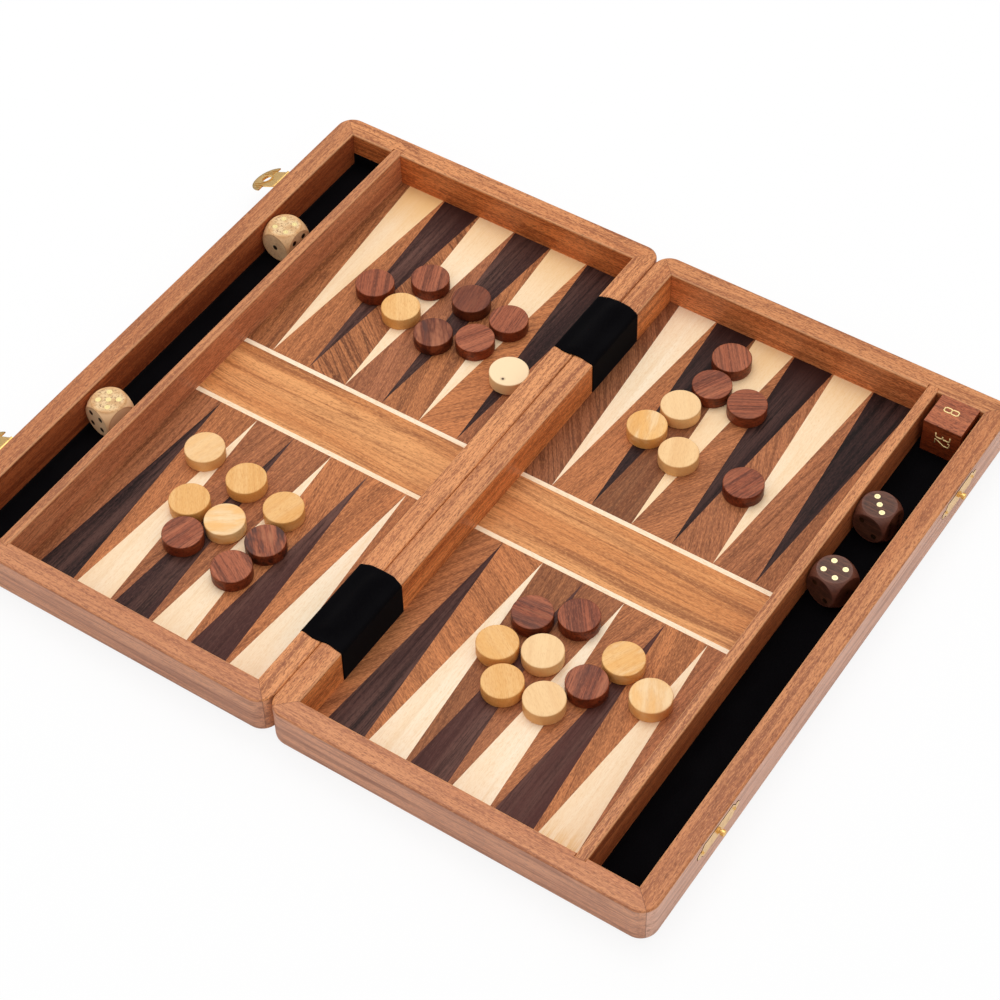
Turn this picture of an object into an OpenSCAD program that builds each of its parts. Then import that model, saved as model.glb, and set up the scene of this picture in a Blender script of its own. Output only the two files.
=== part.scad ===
// Folding backgammon board with its checkers, dice and doubling cube, lying open.
// X runs from the left half to the right half, Y from the near rails to the far rails, Z up.
// The table is at z = 0 and the seam between the halves is at x = seam_x.

/* [Case] */
// Length of the case along the seam
case_length = 380; // [366:2:400]
// Width of one half, from the seam to its outer face
half_width = 222; // [216:1:236]
// Height of one half as it lies open
half_height = 26.5; // [26:0.5:32]
// Thickness of the frame rails
rail_thickness = 12.8; // [11.8:0.2:14]
// Radius of the upright outer corners
corner_radius = 10; // [9:0.5:11.5]
// Rounding of the upper edges of the rails
rim_rounding = 1.2; // [0.6:0.1:2]
// Rounding of the lower outer edges of the rails
foot_rounding = 4; // [2:0.5:4.5]
// Gap between the halves at the seam
seam_gap = 0.2; // [0.1:0.1:0.4]

/* [Floors] */
// Thickness of the base panels
base_thickness = 3; // [2.5:0.25:3.5]
// How far a base panel sits above the feet of its rails
base_recess = 0.5; // [0.3:0.1:0.8]
// Width of the rabbet that holds a base panel
rabbet_width = 5; // [4:0.5:6]
// Gap round a base panel in its rabbet
panel_clearance = 0.15; // [0.1:0.05:0.3]
// Thickness of the inlaid veneer on a playing field
veneer_thickness = 1; // [0.8:0.1:1.4]
// Thickness of the velvet that lines a channel
lining_thickness = 0.8; // [0.5:0.1:1.2]
// How far the left lining turns up on the far wall
lining_turn_up = 8; // [5:1:12]

/* [Channels] */
// Clear width of the channel for dice and spare checkers
channel_width = 28.2; // [28:0.2:30]
// Thickness of the divider between field and channel
divider_thickness = 6.2; // [5:0.2:8]
// Depth of the dados that house the divider's ends
dado_depth = 2.5; // [1.5:0.5:4]
// Gap on each side of a divider in its dado
dado_clearance = 0.1; // [0.05:0.05:0.2]

/* [Inlay] */
// Points on each side of a quadrant
point_count = 6; // [6]
// Plain strip between the outermost points and the rail or divider
point_margin = 5.65; // [3:0.05:8]
// Gap between two points at the rail
point_gap = 1; // [0.5:0.1:2]
// Width of the plain band across the middle of a field
band_width = 41.6; // [36:0.2:48]
// Width of the pale stringing on both sides of the band
stringing_width = 2.9; // [2:0.1:4]

/* [Hinges] */
// Distance from the end of the case to the middle of a hinge
hinge_inset = 74; // [66:1:84]
// Length of a hinge
hinge_length = 38; // [30:1:42]
// Width of one leaf, measured from the pin
hinge_leaf_width = 10.5; // [9.5:0.5:11]
// Thickness of a leaf
leaf_thickness = 0.8; // [0.6:0.1:1]
// Diameter of a hinge pin
hinge_pin_diameter = 1; // [0.8:0.1:1.2]
// Knuckles of a hinge, an odd number
knuckle_count = 5; // [3:2:7]
// Diameter of a hinge screw's shank
screw_diameter = 1.6; // [1.2:0.1:2]
// Length of a hinge screw
screw_length = 8; // [6:0.5:12]
// How far the near velvet cover reaches past each end of its hinge
near_cover_margin = 8; // [4:0.5:9]
// How far the far velvet cover reaches past each end of its hinge
far_cover_margin = 5.25; // [3:0.25:9]
// Thickness of the velvet covers
cover_thickness = 0.45; // [0.3:0.05:0.45]

/* [Latches] */
// Distance from the near end of the case to the middle of the near latch
near_latch_inset = 64; // [60:0.5:80]
// Distance from the far end of the case to the middle of the far latch
far_latch_inset = 65.5; // [60:0.5:80]
// Thickness of the brass sheet
sheet_thickness = 0.7; // [0.5:0.1:0.8]
// Depth of a hasp's pin below the rim
hasp_pin_depth = 3; // [2.5:0.25:4]
// Distance from a hasp's pin to the centre of its hole
hasp_reach = 12; // [11.5:0.25:13]
// Diameter of a hasp's hole
hasp_hole = 6.2; // [5:0.2:6.4]
// Radius of a hasp's round end
hasp_radius = 11.1; // [10.2:0.1:11.6]
// Width of a hasp's neck
hasp_neck = 14.5; // [13:0.5:18]
// Angle by which the hasps droop below level
hasp_droop = 25; // [10:5:45]
// Diameter of a catch stud
stud_diameter = 3.6; // [3:0.2:4]
// Length of a catch stud outside its plate
stud_length = 3.75; // [3.5:0.25:5]
// Length of the ornamental plates
plate_length = 39; // [36:0.5:44]
// Height of the ornamental plates
plate_height = 9.6; // [8:0.2:10.4]
// Depth to which the plates are let into the rails
plate_recess = 0.5; // [0.3:0.05:0.5]

/* [Playing pieces] */
// Diameter of a checker
checker_diameter = 22.5; // [20:0.25:24]
// Thickness of a checker
checker_thickness = 8; // [6:0.5:9]
// Rounding of a checker's edges
checker_edge = 0.5; // [0.2:0.1:1]
// Side of a die
die_side = 20; // [17:0.25:20]
// Diameter of the ball that rounds off a die's corners
die_ball = 27.4; // [25:0.2:27.4]
// Diameter of a pip
pip_diameter = 3.2; // [2.6:0.1:3.6]
// Distance of the outer pips from the middle lines of a face
pip_spread = 4; // [3.4:0.1:4.2]
// Side of the doubling cube
cube_side = 22.4; // [19:0.2:22.6]

/* [Hidden] */
$fn = 64;
// Small overshoot of the cutting solids
over = 1;
// The case
inner_x = seam_gap / 2;
mid_y = case_length / 2;
floor_top = base_recess + base_thickness;
field_top = floor_top + veneer_thickness;
lining_top = floor_top + lining_thickness;
wall_y = mid_y - rail_thickness;
field_start = inner_x + rail_thickness;
channel_end = half_width - rail_thickness;
channel_start = channel_end - channel_width;
divider_start = channel_start - divider_thickness;
field_width = divider_start - field_start;
channel_middle = (channel_start + channel_end) / 2;
// The inlay
point_pitch = (field_width - 2 * point_margin) / point_count;
point_base = point_pitch - point_gap;
band_edge = band_width / 2;
tip_y = band_edge + stringing_width;
// The hinges
hinge_pin_radius = hinge_pin_diameter / 2;
knuckle_radius = leaf_thickness + hinge_pin_radius;
hinge_axis_z = half_height + hinge_pin_radius;
closed_gap = 2 * (hinge_axis_z - half_height);
knuckle_gap = 0.2;
pin_clearance = 0.05;
turning_clearance = 0.3;
mortise_clearance = 0.1;
screw_clearance = 0.05;
screw_spread = hinge_length / 3;
screw_setback = 0.6;
screw_stagger = 1;
screw_x = (knuckle_radius + hinge_leaf_width) / 2 + screw_setback;
screw_head_radius = screw_diameter;
hinge_offset = mid_y - hinge_inset;
near_cover_shift = 1;
far_cover_shift = 2;
cover_lift = 0.1;
// The latches
plate_x = half_width - plate_recess;
plate_face_x = plate_x + sheet_thickness;
hasp_knuckle_radius = 1.2;
hasp_pin_radius = 0.5;
hasp_knuckle_length = 9;
hasp_axis_x = plate_face_x + hasp_knuckle_radius + knuckle_gap;
hasp_axis_z = half_height - hasp_pin_depth;
strap_rise = 0.25;
stud_z = half_height - (hasp_reach - hasp_pin_depth - closed_gap);
hole_drop = 2;
hasp_round_centre = hasp_reach - hole_drop;
lip_radius = 0.55;
lip_overhang = 0.15;
lip_angle = 50;
hasp_tip = hasp_round_centre + hasp_radius + lip_overhang;
lobe_radius = 2.1;
nail_radius = 0.6;
nail_length = 6;
nail_head_radius = 2 * nail_radius;
nail_head_height = 0.4;
nail_inset = 4.6;
nail_x = plate_length / 2 - nail_inset;
plate_end = 7;
plate_body = plate_length - 2 * plate_end;
plate_gap = 0.4;
plate_step = 0.4;
rib_width = 0.7;
rib_height = 0.3;
rib_pitch = 1.6;
collar_width = 1;
collar_height = 0.35;
stud_radius = stud_diameter / 2;
stud_waist_radius = stud_radius - 0.7;
stud_tail_radius = stud_radius - 0.9;
stud_tail_length = 4;
stud_base_height = 0.6;
stud_waist_share = 0.45;
// Middle of the whole footprint, from the tip of a drooping hasp to the end of a stud
left_reach = hasp_axis_x + hasp_tip * cos(hasp_droop);
right_reach = plate_face_x + stud_length;
seam_x = round(left_reach - right_reach) / 2;
// The dice
pip_radius = pip_diameter / 2;
pip_depth = 1.2;
pip_clearance = 0.05;
dimple_ball = 0.8;
dimple_depth = 0.3;
// The doubling cube
cube_wall_gap = 0.2;
cube_offset = 0.7;

// Placing

// Puts the seam where the footprint is centred
module on_board() {
    translate([seam_x, 0, 0]) children();
}

// Builds a piece of the right half, or its mirror image in the left half
module on_side(side) {
    on_board() {
        if (side > 0) {
            children();
        } else {
            mirror([1, 0, 0]) children();
        }
    }
}

// Box between two opposite corners
module box(low, high) {
    translate(low) cube(high - low);
}

// Waste outside a quarter round of the given radius, which leaves a rounded corner when it is cut away
module corner_waste(radius) {
    difference() {
        square(radius + over);
        circle(radius);
    }
}

// Frame rails

// Section of the outer strip of a half, from flat inside to rounded outside
module edge_section() {
    difference() {
        square([corner_radius, half_height]);
        translate([corner_radius - rim_rounding, half_height - rim_rounding]) corner_waste(rim_rounding);
        translate([corner_radius - foot_rounding, foot_rounding]) mirror([0, 1]) corner_waste(foot_rounding);
    }
}

module edge_strip(length) {
    rotate([90, 0, 0]) linear_extrude(length, center = true) edge_section();
}

// Solid block with the outer form of one half
module half_block() {
    middle_x = (inner_x + half_width) / 2;
    span_x = half_width - inner_x - 2 * corner_radius;
    span_y = case_length - 2 * corner_radius;
    near_x = inner_x + corner_radius;
    far_x = half_width - corner_radius;
    box([near_x, -span_y / 2, 0], [far_x, span_y / 2, half_height]);
    translate([far_x, 0, 0]) edge_strip(span_y);
    translate([near_x, 0, 0]) rotate(180) edge_strip(span_y);
    translate([middle_x, span_y / 2, 0]) rotate(90) edge_strip(span_x);
    translate([middle_x, -span_y / 2, 0]) rotate(-90) edge_strip(span_x);
    corners = [[far_x, span_y / 2, 0], [near_x, span_y / 2, 90], [near_x, -span_y / 2, 180],
        [far_x, -span_y / 2, 270]];
    for (corner = corners) {
        translate([corner[0], corner[1], 0]) rotate(corner[2]) rotate_extrude(angle = 90) edge_section();
    }
}

// Plan of a rail with its ends cut at 45 degrees
function long_rail_plan(outer_x, face_x) =
    [[outer_x, -mid_y], [outer_x, mid_y], [face_x, wall_y], [face_x, -wall_y]];
function short_rail_plan(end) =
    [[inner_x, end * mid_y], [half_width, end * mid_y], [channel_end, end * wall_y],
    [field_start, end * wall_y]];

module mitred_rail(plan) {
    intersection() {
        half_block();
        linear_extrude(half_height) polygon(plan);
    }
}

// Waste above the rounded inner edge of a rail whose inner face looks along -X
module inner_edge_waste(length) {
    rotate([90, 0, 0]) linear_extrude(length, center = true)
        translate([rim_rounding, half_height - rim_rounding]) mirror([1, 0]) corner_waste(rim_rounding);
}

// Recess for the base panel, open below
module panel_recess() {
    box([field_start - rabbet_width, -wall_y - rabbet_width, -over],
        [channel_end + rabbet_width, wall_y + rabbet_width, floor_top]);
}

module outer_rail_wood() {
    difference() {
        mitred_rail(long_rail_plan(half_width, channel_end));
        translate([channel_end, 0, 0]) inner_edge_waste(case_length);
        panel_recess();
    }
}

module spine_rail_wood() {
    difference() {
        mitred_rail(long_rail_plan(inner_x, field_start));
        translate([field_start, 0, 0]) rotate(180) inner_edge_waste(case_length);
        panel_recess();
        at_hinges() hinge_seat();
    }
}

module short_rail_wood(end) {
    middle_x = (inner_x + half_width) / 2;
    difference() {
        mitred_rail(short_rail_plan(end));
        translate([middle_x, end * wall_y, 0]) rotate(end * 90) inner_edge_waste(2 * half_width);
        panel_recess();
        divider_blank(dado_clearance, over);
    }
}

module left_outer_rail() {
    color("peru") on_side(-1) difference() {
        outer_rail_wood();
        at_latches() translate([plate_x, 0, hasp_plate_z()]) plate_seat();
    }
}

module right_outer_rail() {
    color("peru") on_side(1) difference() {
        outer_rail_wood();
        at_latches() translate([plate_x, 0, stud_z]) {
            plate_seat();
            stud_hole();
        }
    }
}

module left_spine_rail() {
    color("peru") on_side(-1) spine_rail_wood();
}

module right_spine_rail() {
    color("peru") on_side(1) spine_rail_wood();
}

module left_far_rail() {
    color("peru") on_side(-1) short_rail_wood(1);
}

module right_far_rail() {
    color("peru") on_side(1) short_rail_wood(1);
}

module left_near_rail() {
    color("peru") on_side(-1) short_rail_wood(-1);
}

module right_near_rail() {
    color("peru") on_side(1) short_rail_wood(-1);
}

// Dividers

// Divider, or with a side gap and overshoot the dados that it stands in
module divider_blank(gap, rise) {
    end_y = wall_y + dado_depth + (gap > 0 ? gap : 0);
    box([divider_start - gap, -end_y, floor_top], [channel_start + gap, end_y, half_height + rise]);
}

module divider_wood() {
    difference() {
        divider_blank(0, 0);
        translate([divider_start, 0, 0]) inner_edge_waste(case_length);
        translate([channel_start, 0, 0]) rotate(180) inner_edge_waste(case_length);
    }
}

module left_divider() {
    color("peru") on_side(-1) divider_wood();
}

module right_divider() {
    color("peru") on_side(1) divider_wood();
}

// Floors

module base_panel() {
    inset = rabbet_width - panel_clearance;
    box([field_start - inset, -wall_y - inset, base_recess],
        [channel_end + inset, wall_y + inset, floor_top]);
}

module left_base() {
    color("sienna") on_side(-1) base_panel();
}

module right_base() {
    color("sienna") on_side(1) base_panel();
}

module channel_lining() {
    box([channel_start, -wall_y, floor_top], [channel_end, wall_y, lining_top]);
}

module left_lining() {
    color("black") on_side(-1) {
        channel_lining();
        box([channel_start, wall_y - lining_thickness, floor_top],
            [channel_end, wall_y, lining_top + lining_turn_up]);
    }
}

module right_lining() {
    color("black") on_side(1) channel_lining();
}

// Inlay

// Middle of a point, counted from the spine
function point_x(i) = field_start + point_margin + (i + 0.5) * point_pitch;
// Pale and dark points alternate, and the four quadrants start in turn
function is_pale(side, end, i) = (i + (side == end ? 0 : 1)) % 2 == 0;

module veneer(plan) {
    translate([0, 0, floor_top]) linear_extrude(veneer_thickness) polygon(plan);
}

module point_veneer(end, i) {
    veneer([[point_x(i) - point_base / 2, end * wall_y], [point_x(i) + point_base / 2, end * wall_y],
        [point_x(i), end * tip_y]]);
}

module points(side, pale) {
    on_side(side) for (end = [-1, 1], i = [0 : point_count - 1]) {
        if (is_pale(side, end, i) == pale) {
            point_veneer(end, i);
        }
    }
}

// Wedge of ground on the spine side of point i, or beyond the last point
module ground_wedge(end, i) {
    first = i == 0;
    last = i == point_count;
    tip_from = first ? field_start : point_x(i - 1);
    tip_to = last ? divider_start : point_x(i);
    base_from = first ? field_start : point_x(i - 1) + point_base / 2;
    base_to = last ? divider_start : point_x(i) - point_base / 2;
    veneer([[tip_from, end * tip_y], [tip_to, end * tip_y], [base_to, end * wall_y],
        [base_from, end * wall_y]]);
}

module ground(side) {
    on_side(side) for (end = [-1, 1], i = [0 : point_count]) {
        ground_wedge(end, i);
    }
}

module veneer_strip(side, from_y, to_y) {
    on_side(side) box([field_start, from_y, floor_top], [divider_start, to_y, field_top]);
}

module left_ground() {
    color("chocolate") ground(-1);
}

module right_ground() {
    color("chocolate") ground(1);
}

module left_pale_points() {
    color("moccasin") points(-1, true);
}

module right_pale_points() {
    color("moccasin") points(1, true);
}

module left_dark_points() {
    color("darkslategray") points(-1, false);
}

module right_dark_points() {
    color("darkslategray") points(1, false);
}

module stringing(side) {
    veneer_strip(side, band_edge, tip_y);
    veneer_strip(side, -tip_y, -band_edge);
}

module left_stringing() {
    color("ivory") stringing(-1);
}

module right_stringing() {
    color("ivory") stringing(1);
}

module left_band() {
    color("burlywood") veneer_strip(-1, -band_edge, band_edge);
}

module right_band() {
    color("burlywood") veneer_strip(1, -band_edge, band_edge);
}

// Hinges

module at_hinges() {
    for (end = [-1, 1]) {
        translate([0, end * hinge_offset, 0]) children();
    }
}

// Rod along Y through the hinge axis
module axis_rod(radius, length) {
    translate([0, 0, hinge_axis_z]) rotate([90, 0, 0]) cylinder(r = radius, h = length, center = true);
}

module at_screws() {
    for (place = [-1, 0, 1]) {
        shift = place == 0 ? screw_stagger : 0;
        translate([screw_x + shift, place * screw_spread, half_height]) children();
    }
}

// Countersunk screw with its head flush at z = 0, grown by a clearance for its hole
module screw_form(gap) {
    translate([0, 0, -screw_length - gap]) cylinder(r = screw_diameter / 2 + gap, h = screw_length + gap);
    translate([0, 0, -leaf_thickness])
        cylinder(r1 = screw_diameter / 2 + gap, r2 = screw_head_radius + gap, h = leaf_thickness);
}

// Mortise for a leaf, round groove for the knuckles and pilot holes
module hinge_seat() {
    end_y = hinge_length / 2 + mortise_clearance;
    box([0, -end_y, half_height - leaf_thickness],
        [hinge_leaf_width + mortise_clearance, end_y, half_height + over]);
    axis_rod(knuckle_radius + turning_clearance, 2 * end_y);
    at_screws() screw_form(screw_clearance);
}

// Leaf with every second knuckle, for the right half when odd is 1 and for the left half when it is 0
module hinge_leaf(odd) {
    pitch = hinge_length / knuckle_count;
    link_x = knuckle_radius + turning_clearance;
    low_z = half_height - leaf_thickness;
    difference() {
        union() {
            box([link_x, -hinge_length / 2, low_z], [hinge_leaf_width, hinge_length / 2, half_height]);
            for (k = [odd : 2 : knuckle_count - 1]) {
                from_y = -hinge_length / 2 + k * pitch + knuckle_gap / 2;
                to_y = from_y + pitch - knuckle_gap;
                box([0, from_y, low_z], [link_x, to_y, half_height]);
                translate([0, (from_y + to_y) / 2, 0]) axis_rod(knuckle_radius, to_y - from_y);
            }
        }
        axis_rod(hinge_pin_radius + pin_clearance, hinge_length + over);
        at_screws() translate([0, 0, -leaf_thickness]) {
            cylinder(r1 = screw_diameter / 2 + screw_clearance, r2 = screw_head_radius + screw_clearance,
                h = leaf_thickness);
        }
    }
}

module left_hinge_leaves() {
    color("goldenrod") on_side(-1) at_hinges() hinge_leaf(0);
}

module right_hinge_leaves() {
    color("goldenrod") on_side(1) at_hinges() hinge_leaf(1);
}

module hinge_pins() {
    color("silver") on_board() at_hinges() axis_rod(hinge_pin_radius, hinge_length - knuckle_gap);
}

module slotted_screw() {
    slot_width = 0.3;
    slot_depth = 0.3;
    difference() {
        screw_form(0);
        box([-screw_head_radius, -slot_width / 2, -slot_depth], [screw_head_radius, slot_width / 2, over]);
    }
}

module left_hinge_screws() {
    color("gold") on_side(-1) at_hinges() at_screws() slotted_screw();
}

module right_hinge_screws() {
    color("gold") on_side(1) at_hinges() at_screws() slotted_screw();
}

// Velvet covers over the hinges: each lies on the rim and hangs down the inner face of the spine rail

module cover_section() {
    edge_x = field_start + cover_thickness;
    cloth_top = half_height + cover_thickness;
    difference() {
        union() {
            translate([knuckle_radius + turning_clearance, half_height])
                square([edge_x - knuckle_radius - turning_clearance, cover_thickness]);
            translate([field_start, field_top + cover_lift])
                square([cover_thickness, cloth_top - field_top - cover_lift]);
        }
        translate([edge_x - cover_thickness, cloth_top - cover_thickness]) corner_waste(cover_thickness);
    }
}

module near_cover(side) {
    on_side(side) translate([0, near_cover_shift - hinge_offset, 0]) rotate([90, 0, 0])
        linear_extrude(hinge_length + 2 * near_cover_margin, center = true) cover_section();
}

module far_cover(side) {
    on_side(side) translate([0, far_cover_shift + hinge_offset, 0]) rotate([90, 0, 0])
        linear_extrude(hinge_length + 2 * far_cover_margin, center = true) cover_section();
}

module near_cover_left() {
    color("dimgray") near_cover(-1);
}

module near_cover_right() {
    color("dimgray") near_cover(1);
}

module far_cover_left() {
    color("dimgray") far_cover(-1);
}

module far_cover_right() {
    color("dimgray") far_cover(1);
}

// Latches

// Height of the middle of a hasp plate, which hangs from its knuckles
function hasp_plate_z() = hasp_axis_z - plate_height / 2;

// Middle of the near latch, at end -1, or of the far one
function latch_y(end) = end < 0 ? near_latch_inset - mid_y : mid_y - far_latch_inset;

module at_latches() {
    for (end = [-1, 1]) {
        translate([0, latch_y(end), 0]) children();
    }
}

// Turns a flat outline in the XY plane to stand on the outer face, with its X along the rail
module on_outer_face(thickness) {
    rotate([90, 0, 90]) linear_extrude(thickness) children();
}

// Outline of an ornamental plate: a long body that ends in a round shoulder and three lobes
module plate_outline(grow) {
    square([plate_body + 2 * grow, plate_height - 2 * plate_step + 2 * grow], center = true);
    for (side = [-1, 1]) {
        translate([side * (plate_length / 2 - lobe_radius), 0]) circle(lobe_radius + grow);
        translate([side * nail_x, 0])
            square([2 * (lobe_radius + grow), 2 * (lobe_radius - plate_step + grow)], center = true);
        for (end = [-1, 1]) {
            translate([side * plate_body / 2, end * (plate_height / 2 - lobe_radius)])
                circle(lobe_radius + grow);
        }
        translate([side * plate_body / 2, 0]) circle(plate_height / 2 - lobe_radius / 2 + grow);
    }
}

// Recess in the rail for a plate, with a gap all round it and holes for its nails
module plate_seat() {
    on_outer_face(plate_recess + over) plate_outline(plate_gap);
    nail_holes();
}

module plate_nail_holes() {
    for (side = [-1, 1]) {
        translate([side * nail_x, 0]) circle(nail_radius + screw_clearance);
    }
}

module plate_blank(thickness) {
    on_outer_face(thickness) difference() {
        plate_outline(0);
        plate_nail_holes();
    }
}

// Holes in the rail behind a plate's nails
module nail_holes() {
    for (side = [-1, 1]) {
        translate([-nail_length, side * nail_x, 0]) rotate([0, 90, 0])
            cylinder(r = nail_radius + screw_clearance, h = nail_length + over);
    }
}

// Round-headed nail along X with the underside of its head at x = 0
module nail() {
    rotate([0, 90, 0]) {
        translate([0, 0, -nail_length + sheet_thickness + screw_clearance])
            cylinder(r = nail_radius, h = nail_length);
        cylinder(r1 = nail_head_radius, r2 = nail_radius, h = nail_head_height);
    }
}

module plate_nails(plate_z) {
    at_latches() for (side = [-1, 1]) {
        translate([plate_face_x, side * nail_x, plate_z]) nail();
    }
}

module hasp_knuckle(radius, length) {
    rotate([90, 0, 0]) cylinder(r = radius, h = length, center = true);
}

// Plate that carries a hasp: two knuckles on straps at its top edge, with room for the hasp's own between
module hasp_plate() {
    side_length = (hasp_neck - hasp_knuckle_length) / 2 - knuckle_gap;
    strap_z = hasp_axis_z - hasp_knuckle_radius + strap_rise;
    difference() {
        union() {
            translate([plate_x, 0, hasp_plate_z()]) plate_blank(sheet_thickness);
            for (side = [-1, 1]) {
                middle_y = side * (hasp_neck - side_length) / 2;
                translate([hasp_axis_x, middle_y, hasp_axis_z])
                    hasp_knuckle(hasp_knuckle_radius, side_length);
                box([plate_x, middle_y - side_length / 2, strap_z],
                    [hasp_axis_x, middle_y + side_length / 2, strap_z + sheet_thickness]);
            }
        }
        translate([hasp_axis_x, 0, hasp_axis_z])
            hasp_knuckle(hasp_pin_radius + pin_clearance, hasp_neck + over);
    }
}

module hasp_plates() {
    color("gold") on_side(-1) at_latches() hasp_plate();
}

module hasp_pins() {
    color("silver") on_side(-1) at_latches()
        translate([hasp_axis_x, 0, hasp_axis_z]) hasp_knuckle(hasp_pin_radius, hasp_neck - knuckle_gap);
}

// Flat outline of a hasp with its pin along X at the origin: neck and half-moon
module hasp_outline() {
    translate([-hasp_neck / 2, hasp_knuckle_radius + turning_clearance])
        square([hasp_neck, hasp_round_centre]);
    intersection() {
        translate([0, hasp_round_centre]) circle(hasp_radius);
        translate([-hasp_radius, hasp_round_centre]) square([2 * hasp_radius, hasp_radius]);
    }
}

// Hasp standing straight up from its pin at the origin, seen from the outside along -X
module upright_hasp() {
    collar_face = sheet_thickness / 2 + collar_height;
    difference() {
        union() {
            translate([-sheet_thickness / 2, 0, 0]) on_outer_face(sheet_thickness) hasp_outline();
            translate([-sheet_thickness / 2, 0, 0]) on_outer_face(sheet_thickness)
                translate([-hasp_knuckle_length / 2, 0])
                    square([hasp_knuckle_length, hasp_knuckle_radius + 2 * turning_clearance]);
            hasp_knuckle(hasp_knuckle_radius, hasp_knuckle_length);
            hasp_lip();
            across_hasp(-collar_face, collar_face) circle(hasp_hole / 2 + collar_width);
            hasp_ribs();
        }
        across_hasp(-over, over) circle(hasp_hole / 2);
        hasp_knuckle(hasp_pin_radius + pin_clearance, hasp_knuckle_length + over);
    }
}

// Round form at the hole of a hasp, between two distances from the middle of its sheet
module across_hasp(from_x, to_x) {
    translate([from_x, 0, hasp_reach]) on_outer_face(to_x - from_x) children();
}

// Ribs on both faces of the two horns, side by side, which end inside the rim of the half-moon
module hasp_ribs() {
    rib_face = sheet_thickness / 2 + rib_height;
    first_y = hasp_hole / 2 + collar_width + rib_width;
    end_radius = hasp_radius - collar_width - rib_width;
    for (side = [-1, 1], k = [0, 1, 2]) {
        middle_y = first_y + k * rib_pitch;
        outer_y = middle_y + rib_width / 2;
        rib_end = sqrt(end_radius * end_radius - outer_y * outer_y);
        box([-rib_face, side * middle_y - rib_width / 2, hasp_round_centre + rib_width],
            [rib_face, side * middle_y + rib_width / 2, hasp_round_centre + rib_end]);
    }
}

// Rolled lip round the free end of a hasp, on the side away from the case
module hasp_lip() {
    ring = hasp_radius + lip_overhang - lip_radius;
    translate([sheet_thickness / 2, 0, hasp_round_centre]) rotate([0, 90, 0]) rotate([0, 0, 180 - lip_angle])
        rotate_extrude(angle = 2 * lip_angle) translate([ring, 0]) circle(lip_radius);
}

module hasp(end) {
    color("gold") on_side(-1) translate([hasp_axis_x, latch_y(end), hasp_axis_z])
        rotate([0, 90 + hasp_droop, 0]) upright_hasp();
}

module near_hasp() {
    hasp(-1);
}

module far_hasp() {
    hasp(1);
}

module catch_plates() {
    color("gold") on_side(1) at_latches() translate([plate_x, 0, stud_z]) difference() {
        plate_blank(sheet_thickness);
        rotate([0, 90, 0]) translate([0, 0, -over])
            cylinder(r = stud_tail_radius + screw_clearance, h = sheet_thickness + 2 * over);
    }
}

// Hole in the rail for a stud's tail, which is riveted through its plate
module stud_hole() {
    rotate([0, 90, 0]) translate([0, 0, -stud_tail_length - screw_clearance])
        cylinder(r = stud_tail_radius + screw_clearance, h = stud_tail_length + over);
}

// Stud along X: tail, round base, waist and domed head
module stud() {
    waist_end = stud_length * stud_waist_share;
    dome_radius = 2 * stud_radius;
    rotate([0, 90, 0]) {
        translate([0, 0, -stud_tail_length])
            cylinder(r = stud_tail_radius, h = stud_tail_length + stud_base_height);
        cylinder(r = stud_radius, h = stud_base_height);
        cylinder(r = stud_waist_radius, h = waist_end);
        translate([0, 0, waist_end]) intersection() {
            cylinder(r = stud_radius, h = stud_length - waist_end);
            translate([0, 0, stud_length - waist_end - dome_radius]) sphere(dome_radius);
        }
    }
}

module catch_studs() {
    color("gold") on_side(1) at_latches() translate([plate_face_x, 0, stud_z]) stud();
}

module left_latch_nails() {
    color("gold") on_side(-1) plate_nails(hasp_plate_z());
}

module right_latch_nails() {
    color("gold") on_side(1) plate_nails(stud_z);
}

// Playing pieces

// Round turned piece with eased edges
module checker() {
    radius = checker_diameter / 2;
    rotate_extrude() difference() {
        square([radius, checker_thickness]);
        translate([radius - checker_edge, checker_thickness - checker_edge]) corner_waste(checker_edge);
        translate([radius - checker_edge, checker_edge]) mirror([0, 1]) corner_waste(checker_edge);
    }
}

// Where the loose checkers of each quadrant lie, in checker diameters from the middle of their group
function dark_far_left() =
    [[-2.3, -0.05], [-1.2, 0.85], [0.1, 0.8], [-0.05, -0.7], [0.95, -0.3], [1.3, 0.7]];
function pale_far_left() = [[-1.25, -0.4], [2.3, -0.8]];
function dark_near_left() = [[-0.3, -1.15], [1.5, -0.3], [1.3, -1.35]];
function pale_near_left() = [[-1.5, 1.25], [-0.05, 1], [-0.8, -0.25], [1.25, 0.75], [0.3, -0.3]];
function dark_far_right() = [[-0.85, 1.7], [-0.8, 0.65], [0.25, 0.55], [1.45, -1.7]];
function pale_far_right() = [[-1.1, -0.35], [-1.45, -1.35], [-0.35, -1.7]];
function dark_near_right() = [[-1.65, 0.75], [-0.7, 1.25], [0.45, -0.25]];
function pale_near_right() =
    [[-1.85, -0.4], [-0.85, -0.05], [0.8, 0.75], [-1.15, -1.25], [-0.1, -1.15], [1.85, 0.2]];

// Middle of a group that leaves this share of the spare room on its lower side
function group_middle(from, length, share, spots) =
    let (reach_down = (0.5 - min(spots)) * checker_diameter)
    let (reach_up = (0.5 + max(spots)) * checker_diameter)
    from + reach_down + share * (length - reach_down - reach_up);

// Checkers of one colour, placed as part of the whole group in their quadrant
module checkers(side, end, share, shown, others) {
    group = concat(shown, others);
    from_x = side > 0 ? field_start : -divider_start;
    from_y = end > 0 ? 0 : -wall_y;
    middle_x = group_middle(from_x, field_width, share[0], [for (spot = group) spot[0]]);
    middle_y = group_middle(from_y, wall_y, share[1], [for (spot = group) spot[1]]);
    on_board() translate([middle_x, middle_y, field_top]) for (spot = shown) {
        translate([spot[0] * checker_diameter, spot[1] * checker_diameter, 0]) checker();
    }
}

module dark_checkers_far_left() {
    color("saddlebrown") checkers(-1, 1, [0.816, 0.55], dark_far_left(), pale_far_left());
}

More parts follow.
